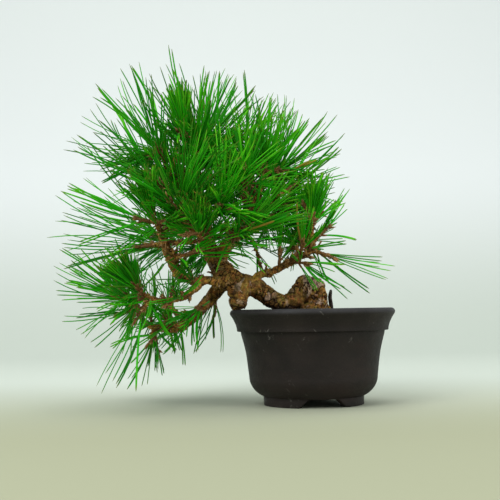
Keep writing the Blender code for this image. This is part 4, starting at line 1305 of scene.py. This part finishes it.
class Copies:
    """Many copies of one template, each placed, stretched and bowed."""

    def __init__(self, template: bmesh.types.BMesh) -> None:
        """Keeps the template as a mesh, and its points as a table."""
        self.source = Bench.mesh("template", template)
        count = len(self.source.vertices)
        table = np.empty(count * 3, np.float32)
        self.source.vertices.foreach_get("co", table)
        self.points = table.reshape(count, 3).astype(float)
        self.places: list[np.ndarray] = []
        self.along: list[np.ndarray] = []
        self.tint: list[float] = []
        self.dry: list[float] = []

    def add(self, foot: Vector, way: Vector, side: Vector, length: float, width: float, bend: Vector = STRAIGHT,
            tint: float = 0.0, dry: float = 0.0) -> None:
        """Places one copy.

        Args:
            foot: Where it stands.
            way: The way it points.
            side: A direction across it.
            length: Its length.
            width: Half its width.
            bend: How far its tip is carried to the side.
            tint: Its tone, from 0 to 1.
            dry: How dry it is, from 0 to 1.
        """
        side = (side - way * side.dot(way)).normalized()
        other = way.cross(side)
        x, y, t = self.points.T
        centre = np.outer(t * length, way) + np.outer(t * t, bend)
        self.places.append(np.array(foot) + centre + np.outer(x * width, other) + np.outer(y * width, side))
        self.along.append(t)
        self.tint.append(tint)
        self.dry.append(dry)

    def fill(self, shape: bmesh.types.BMesh, finish: int) -> None:
        """Appends the copies' faces to a mesh; their places are set afterwards."""
        first = len(shape.faces)
        for _ in self.places:
            shape.from_mesh(self.source)
        shape.faces.ensure_lookup_table()
        for face in shape.faces[first:]:
            face.material_index = finish

    @staticmethod
    def joined(name: str, groups: Sequence["Copies"]) -> bpy.types.Mesh:
        """Joins groups of copies into one mesh, each with a finish of its own."""
        shape = bmesh.new()
        for i, group in enumerate(groups):
            group.fill(shape, i)
        mesh = Bench.mesh(name, shape)
        full = [group for group in groups if group.places]
        places = np.concatenate([np.concatenate(group.places) for group in full])
        mesh.vertices.foreach_set("co", places.astype(np.float32).ravel())
        Bench.numbers(mesh, "along", np.concatenate([np.concatenate(group.along) for group in full]))
        for key in ("tint", "dry"):
            row = np.concatenate([np.repeat(getattr(group, key), len(group.points)) for group in full])
            Bench.numbers(mesh, key, row)
        mesh.update()
        Bench.shade_smooth(mesh, 60.0)
        return mesh


class Habit(Enum):
    """How a tuft grows: how much its needles are drawn together, their length, and pairs per tip.

    A thin tuft keeps only the few tips that reach furthest to the right.
    """

    OPEN = (0.0, 1.0, 0.80)
    BRUSH = (1.0, 0.82, 2.2)
    THIN = (0.0, 1.0, 1.0)


HABITS: dict[str, Habit] = {
    "apex_front": Habit.BRUSH, "left_fan": Habit.BRUSH, "low_fan_b": Habit.BRUSH, "front_fan": Habit.BRUSH,
    "arm_fan": Habit.BRUSH, "arm_out": Habit.THIN, "arm_low": Habit.THIN,
}


@dataclass
class Tuft:
    """One shoot with its needles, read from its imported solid, and the smaller shoots below it."""

    name: str
    base: Vector
    aim: Vector
    shoot: float
    tips: list[Vector]
    spurs: list[tuple[Vector, Vector, bool]] = field(default_factory=list)
    loose_pairs: int = 9
    side_shoots: int = 3
    half_width: float = 0.71 * MM
    bare_from: float = 9.0 * MM
    shoot_radius: float = 1.6 * MM
    core_reach: float = 14 * MM
    thin_tips: int = 5
    weak_below: int = 14
    shortest: float = 20 * MM
    spur_reach: float = 66 * MM
    scales: int = 40
    bare_scales: int = 32
    side_scales: int = 22

    @classmethod
    def read(cls, node: str) -> "Tuft":
        """Reads a tuft's shoot and the ends of its needles from its solid.

        Args:
            node: The solid's node.

        Returns:
            The tuft.
        """
        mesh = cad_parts[node].data
        table = np.empty(len(mesh.vertices) * 3, np.float32)
        mesh.vertices.foreach_get("co", table)
        points = np.unique(np.round(table.reshape(-1, 3).astype(float), 6), axis=0)
        gap = np.linalg.norm(points - np.median(points, axis=0), axis=1)
        core, tips = points[gap < cls.core_reach], points[gap >= cls.core_reach]
        middle = (core.min(axis=0) + core.max(axis=0)) / 2
        spread = np.linalg.svd(core - middle)[2][0]
        if spread @ (tips.mean(axis=0) - middle) < 0:
            spread = -spread
        reach = (core - middle) @ spread
        base = middle + spread * reach.min()
        return cls(node.removeprefix("needle_tuft_"), Vector(base), Vector(spread), float(np.ptp(reach)),
                   [Vector(tip) for tip in tips])

    def build(self, clear: "Clearance", finishes: Sequence[bpy.types.Material]) -> None:
        """Makes the shoot, its sheaths, its buds and its paired needles."""
        rng = random.Random(self.name)
        brush = Brush(clear, rng, rng.uniform(0.15, 0.75), self.half_width)
        middle = self.base + self.aim * self.shoot / 2
        reach = sum((tip - middle).length for tip in self.tips) / len(self.tips)
        habit = HABITS.get(self.name, Habit.OPEN)
        drawn, scale, pairs = habit.value
        thin = habit is Habit.THIN
        weak = len(self.tips) < self.weak_below or thin
        tips = sorted(self.tips, key=lambda tip: -tip.x)
        for tip in tips[:self.thin_tips] if thin else tips:
            way = (tip - middle + wander(rng, 3.5 * MM)).normalized()
            length = (tip - middle).length * scale
            for i in range(int(pairs + rng.random())):
                spread = (way + self.aim * drawn + wander(rng, 0.24 * min(i, 1))).normalized()
                far = length * rng.uniform(0.78 - 0.14 * i, 1.03)
                self._pair(brush, self.base, self.aim, self.shoot, spread, far)
        for _ in range(self.loose_pairs // 4 if weak or drawn else self.loose_pairs):
            way = tilted(rng, self.aim, rng.uniform(40, 98))
            self._pair(brush, self.base, self.aim, self.shoot, way, reach * rng.uniform(0.4, 0.8))
        self._stem(brush, self.base, self.aim, self.shoot, self.shoot_radius, self.scales)
        for _ in range(0 if weak else self.side_shoots):
            foot = self.base - self.aim * rng.uniform(0.5, 9.0) * MM
            self._side_shoot(brush, foot, tilted(rng, self.aim, rng.uniform(35, 85)), reach)
        for foot, aim, bare in self.spurs:
            if bare:
                self._stem(brush, foot, aim, rng.uniform(5.0, 9.5) * MM, self.shoot_radius, self.bare_scales)
            else:
                self._side_shoot(brush, foot, aim, self.spur_reach)
        brush.lay("tuft_" + self.name, "needle_tuft_" + self.name, finishes)

    def _side_shoot(self, brush: "Brush", foot: Vector, aim: Vector, reach: float) -> None:
        """Adds a smaller shoot on a short spur.

        Args:
            brush: Where the needles are gathered.
            foot: Where the spur starts.
            aim: The way it points.
            reach: How long a full needle is here.
        """
        rng = brush.rng
        spur = rng.uniform(5.0, 11.0) * MM
        shoot = rng.uniform(5.5, 8.0) * MM
        side = aim.orthogonal().normalized()
        brush.buds.add(foot, aim, side, spur * 1.5, 1.5 * MM, tint=0.75)
        base = foot + aim * spur
        for _ in range(rng.randrange(7, 12)):
            way = tilted(rng, aim, abs(rng.gauss(0, 36)))
            self._pair(brush, base, aim, shoot, way, reach * rng.uniform(0.36, 0.72))
        self._stem(brush, base, aim, shoot, self.shoot_radius * 0.8, self.side_scales)

    def _pair(self, brush: "Brush", base: Vector, aim: Vector, shoot: float, way: Vector, reach: float) -> None:
        """Adds one pair of needles to a shoot, if there is room for it.

        Args:
            brush: Where the needles are gathered.
            base: The shoot's foot.
            aim: The way the shoot points.
            shoot: The shoot's length.
            way: The way the pair points.
            reach: How far from the shoot's middle the pair ends.
        """
        rng = brush.rng
        lean = math.degrees(aim.angle(way))
        share = min(1.0, 1.05 - lean / 60 - 0.9 * rng.random() ** 1.5)
        out = way - aim * way.dot(aim)
        out = out.normalized() if out.length > 0.05 else aim.orthogonal().normalized()
        foot = base + aim * max(shoot * share, -self.bare_from) + out * self.shoot_radius * 0.6
        target = base + aim * shoot * 0.5 + way * reach - foot
        way, length = target.normalized(), max(self.shortest, target.length)
        flat = 1.0 - abs(way.z)
        bend = wander(rng, 0.11) * length + Vector((0, 0, -1)) * length * flat * rng.uniform(-0.02, 0.09)
        bend -= way * bend.dot(way)
        brush.pair(foot, (way - bend / length * 0.5).normalized(), length, bend)

    def _stem(self, brush: "Brush", base: Vector, aim: Vector, shoot: float, radius: float, scales: int) -> None:
        """Adds a shoot's stem, the scales on it and the buds at its end.

        Args:
            brush: Where they are gathered.
            base: The shoot's foot.
            aim: The way it points.
            shoot: Its length.
            radius: Its radius.
            scales: How many scales it bears.
        """
        rng = brush.rng
        side = aim.orthogonal().normalized()
        brush.buds.add(base - aim * 1.5 * MM, aim, side, shoot * 1.15, radius, tint=0.6)
        end = base + aim * shoot
        for i in range(rng.choice((1, 2, 3))):
            way = (aim + wander(rng, 0.4 * min(i, 1))).normalized()
            brush.buds.add(end - aim * 2 * MM, way, side, rng.uniform(4.5, 8.5) * MM, rng.uniform(0.9, 1.4) * MM,
                           tint=rng.uniform(0.0, 0.5))
        for _ in range(scales):
            out = Matrix.Rotation(rng.uniform(0, math.tau), 3, aim) @ side
            foot = base + aim * shoot * rng.uniform(-0.1, 0.95) + out * radius * 0.75
            way = (aim + out * rng.uniform(0.2, 0.9)).normalized()
            brush.scales.add(foot, way, out, rng.uniform(1.2, 2.6) * MM, 0.7 * MM, tint=rng.random())


@dataclass
class Brush:
    """Gathers one tuft's needles, sheaths, buds and scales. It has a tone and a needle width of its own."""

    clear: "Clearance"
    rng: random.Random
    bright: float
    half_width: float
    sheath_width: float = 0.9 * MM
    dry_share: float = 0.006
    needles: Copies = field(default_factory=lambda: Copies(Templates.needle()))
    sheaths: Copies = field(default_factory=lambda: Copies(Templates.sheath()))
    buds: Copies = field(default_factory=lambda: Copies(Templates.bud()))
    scales: Copies = field(default_factory=lambda: Copies(Templates.scale()))

    def pair(self, foot: Vector, way: Vector, length: float, bend: Vector) -> None:
        """Adds two needles in one sheath.

        Args:
            foot: Where the sheath starts.
            way: The way it points.
            length: How far the needles reach from there.
            bend: How far their tips are carried to the side.
        """
        rng = self.rng
        if not self.clear.allows(foot, way, length, bend):
            return
        side = way.cross(wander(rng, 1.0)).normalized()
        tint = min(1.0, max(0.0, rng.gauss(self.bright, 0.27)))
        dry = 1.0 if rng.random() < self.dry_share else max(0.0, rng.gauss(0.0, 0.05))
        sheath = rng.uniform(3.0, 5.5) * MM
        self.sheaths.add(foot, way, side, sheath, self.sheath_width, tint=rng.uniform(0.1, 0.9))
        for hand in (-1, 1):
            apart = (way + side * rng.uniform(0.02, 0.11) * hand).normalized()
            start = foot + way * sheath * 0.55 + side * 0.32 * MM * hand
            own = bend + side * hand * length * rng.uniform(-0.05, 0.03)
            width = self.half_width * rng.uniform(0.85, 1.05)
            reach = length * rng.uniform(0.93, 1.0) - sheath * 0.55
            self.needles.add(start, apart, side, reach, width, own, tint, dry)

    def lay(self, name: str, node: str, finishes: Sequence[bpy.types.Material]) -> None:
        """Joins everything into one piece that stands for its node."""
        mesh = Copies.joined(name, [self.needles, self.sheaths, self.buds, self.scales])
        leaf, shoot = finishes
        Bench.lay(name, mesh, [leaf, shoot, shoot, shoot], "pine_needles", [node])


class Clearance:
    """Keeps needles out of the pot, the old wood and the table."""

    looks: int = 12
    skip: float = 0.15
    over_table: float = 3 * MM
    off_pot: float = 2 * MM
    into_wood: float = 0.5 * MM

    def __init__(self, tree: Tree) -> None:
        """Lists the old wood's middle line, with its radius at each point."""
        self.pot = tree.pot
        samples = [sample for name in OLD_LIMBS for sample in samples_along(tree.line(name, 2 * MM))]
        self.radii = [radius for _, _, radius in samples]
        self.near = finder(samples)

    def allows(self, foot: Vector, way: Vector, length: float, bend: Vector) -> bool:
        """Says whether a needle would be clear of them.

        Args:
            foot: Where the needle starts.
            way: The way it points.
            length: Its length.
            bend: How far its tip is carried to the side.

        Returns:
            Whether it is clear.
        """
        for share in np.linspace(self.skip, 1.0, self.looks):
            place = foot + way * length * share + bend * share * share
            if place.z < self.over_table or not self.pot.clears(place, self.off_pot):
                return False
            _, i, gap = self.near.find(place)
            if gap < self.radii[i] - self.into_wood:
                return False
        return True


# ---------------------------------------------------------------------------------------------------------
# studio
# ---------------------------------------------------------------------------------------------------------


class Softbox(Enum):
    """A soft light: where it stands from the tree, its power and its width."""

    KEY = ((-0.75, -1.05, 1.15), 17.0, 1.1)
    FILL = ((1.15, -0.85, 0.55), 7.0, 1.0)
    TOP = ((0.05, 0.15, 1.6), 9.0, 1.2)


@dataclass
class Studio:
    """The pale sweep, the soft lights and the camera."""

    aim: Vector
    # The floor and the bend of the sweep are painted darker than the wall: painted shade.
    floor: Colour = srgb(160, 163, 136)
    foot: Colour = srgb(200, 208, 196)
    wall: Colour = srgb(236, 240, 238)
    room: Colour = (0.93, 0.97, 1.0)
    room_light: float = 0.75
    half_size: float = 3.0
    shift: float = 1.2
    flat: float = 0.9
    bend: float = 0.9
    lens: float = 72.0
    stand: Triple = (-52.4 * MM, -860.0 * MM, 80.6 * MM)
    pitch: float = 3.45
    roll: float = -0.9

    def sweep(self) -> None:
        """Makes the floor, which turns up into a backdrop."""
        shape = bmesh.new()
        bmesh.ops.create_grid(shape, x_segments=2, y_segments=60, size=self.half_size)
        bend, start = self.bend, self.flat
        for vert in shape.verts:
            run = vert.co.y + self.shift
            if run > start:
                turn = min(math.pi / 2, (run - start) / bend)
                rise = max(0.0, run - start - bend * math.pi / 2)
                vert.co.y = start + bend * math.sin(turn)
                vert.co.z = bend * (1 - math.cos(turn)) + rise
            else:
                vert.co.y = run
        mesh = Bench.mesh("studio_sweep", shape)
        Bench.shade_smooth(mesh)
        stage = bpy.data.objects.new("studio_sweep", mesh)
        bpy.context.scene.collection.objects.link(stage)
        sheet = Sheet("studio_paper", roughness=0.9, specular=0.1)
        # Painted shade: the paper darkens from the wall through the bend down to the floor.
        colour = sheet.mix(sheet.axis("Y").rise(-0.25, 0.35), self.floor, self.foot)
        mesh.materials.append(sheet.finish(sheet.mix(sheet.axis("Z").rise(0.0, 0.45), colour, self.wall)))

    def lights(self) -> None:
        """Sets the soft lights and the pale room."""
        for box in Softbox:
            stand, power, width = box.value
            data = bpy.data.lights.new("softbox_" + box.name.lower(), "AREA")
            data.energy = power
            data.shape = "DISK"
            data.size = width
            lamp = bpy.data.objects.new(data.name, data)
            lamp.location = self.aim + Vector(stand)
            lamp.rotation_euler = (-Vector(stand)).to_track_quat("-Z", "Y").to_euler()
            bpy.context.scene.collection.objects.link(lamp)
        world = bpy.data.worlds.new("studio_room")
        world.use_nodes = True
        room = world.node_tree.nodes["Background"]
        room.inputs["Color"].default_value = (*self.room, 1.0)
        room.inputs["Strength"].default_value = self.room_light
        bpy.context.scene.world = world

    def camera(self, axis: Vector) -> None:
        """Stands the camera level with the pot's rim.

        Args:
            axis: A point on the pot's axis.
        """
        data = bpy.data.cameras.new("studio_camera")
        data.lens = self.lens
        data.sensor_width = 36.0
        data.clip_start = 0.02
        eye = bpy.data.objects.new("studio_camera", data)
        eye.location = (axis.x + self.stand[0], axis.y + self.stand[1], self.stand[2])
        tilt = Matrix.Rotation(math.radians(90 + self.pitch), 4, "X")
        eye.rotation_euler = (tilt @ Matrix.Rotation(math.radians(self.roll), 4, "Z")).to_euler()
        bpy.context.scene.collection.objects.link(eye)
        bpy.context.scene.camera = eye
        bpy.context.scene.view_settings.view_transform = "Standard"


# ---------------------------------------------------------------------------------------------------------
# the whole scene
# ---------------------------------------------------------------------------------------------------------


def dress_kept_nodes() -> None:
    """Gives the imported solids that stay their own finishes."""
    finishes = {
        "drain_mesh": PlainFinish("screen_plastic_surface", srgb(38, 38, 38), srgb(74, 72, 68), 0.5),
        "mesh_clip": PlainFinish("clip_wire_surface", srgb(70, 52, 40), srgb(112, 96, 82), 0.42, 0.7, 500.0),
        "drainage_gravel": PlainFinish("pumice_surface", srgb(150, 142, 122), srgb(190, 184, 166), 0.9, 0.0, 260.0),
    }
    for node, finish in finishes.items():
        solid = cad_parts[node]
        solid.data.materials.clear()
        solid.data.materials.append(finish.material())


def main() -> None:
    """Builds the pot, what it holds, the tree and the studio, in that order."""
    logging.basicConfig(level=logging.INFO, format="%(message)s")
    noise.seed_set(WOOD_SEED)
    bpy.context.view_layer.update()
    low, high = (Vector(corner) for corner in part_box("pot"))
    axis = Vector(((low.x + high.x) / 2, (low.y + high.y) / 2, 0.0))
    pot = Pot(axis, high.z, (high.x - low.x) / 2)
    pot.build()
    SoilBed(pot).build()
    TieWire(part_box("tie_wire")).build()
    tree = Tree(Vector((axis.x, axis.y, high.z)), pot)
    tufts = [Tuft.read(node) for node in sorted(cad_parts) if node.startswith("needle_tuft_")]
    tree.old_wood()
    tree.young_wood(tufts)
    tree.spurs(tufts)
    clear = Clearance(tree)
    finishes = [NeedleFinish().material(), ShootFinish().material()]
    for tuft in tufts:
        tuft.build(clear, finishes)
    dress_kept_nodes()
    studio = Studio(Vector((0.0, 0.0, 0.16)))
    studio.sweep()
    studio.lights()
    studio.camera(axis)


if __name__ == "__main__":
    main()
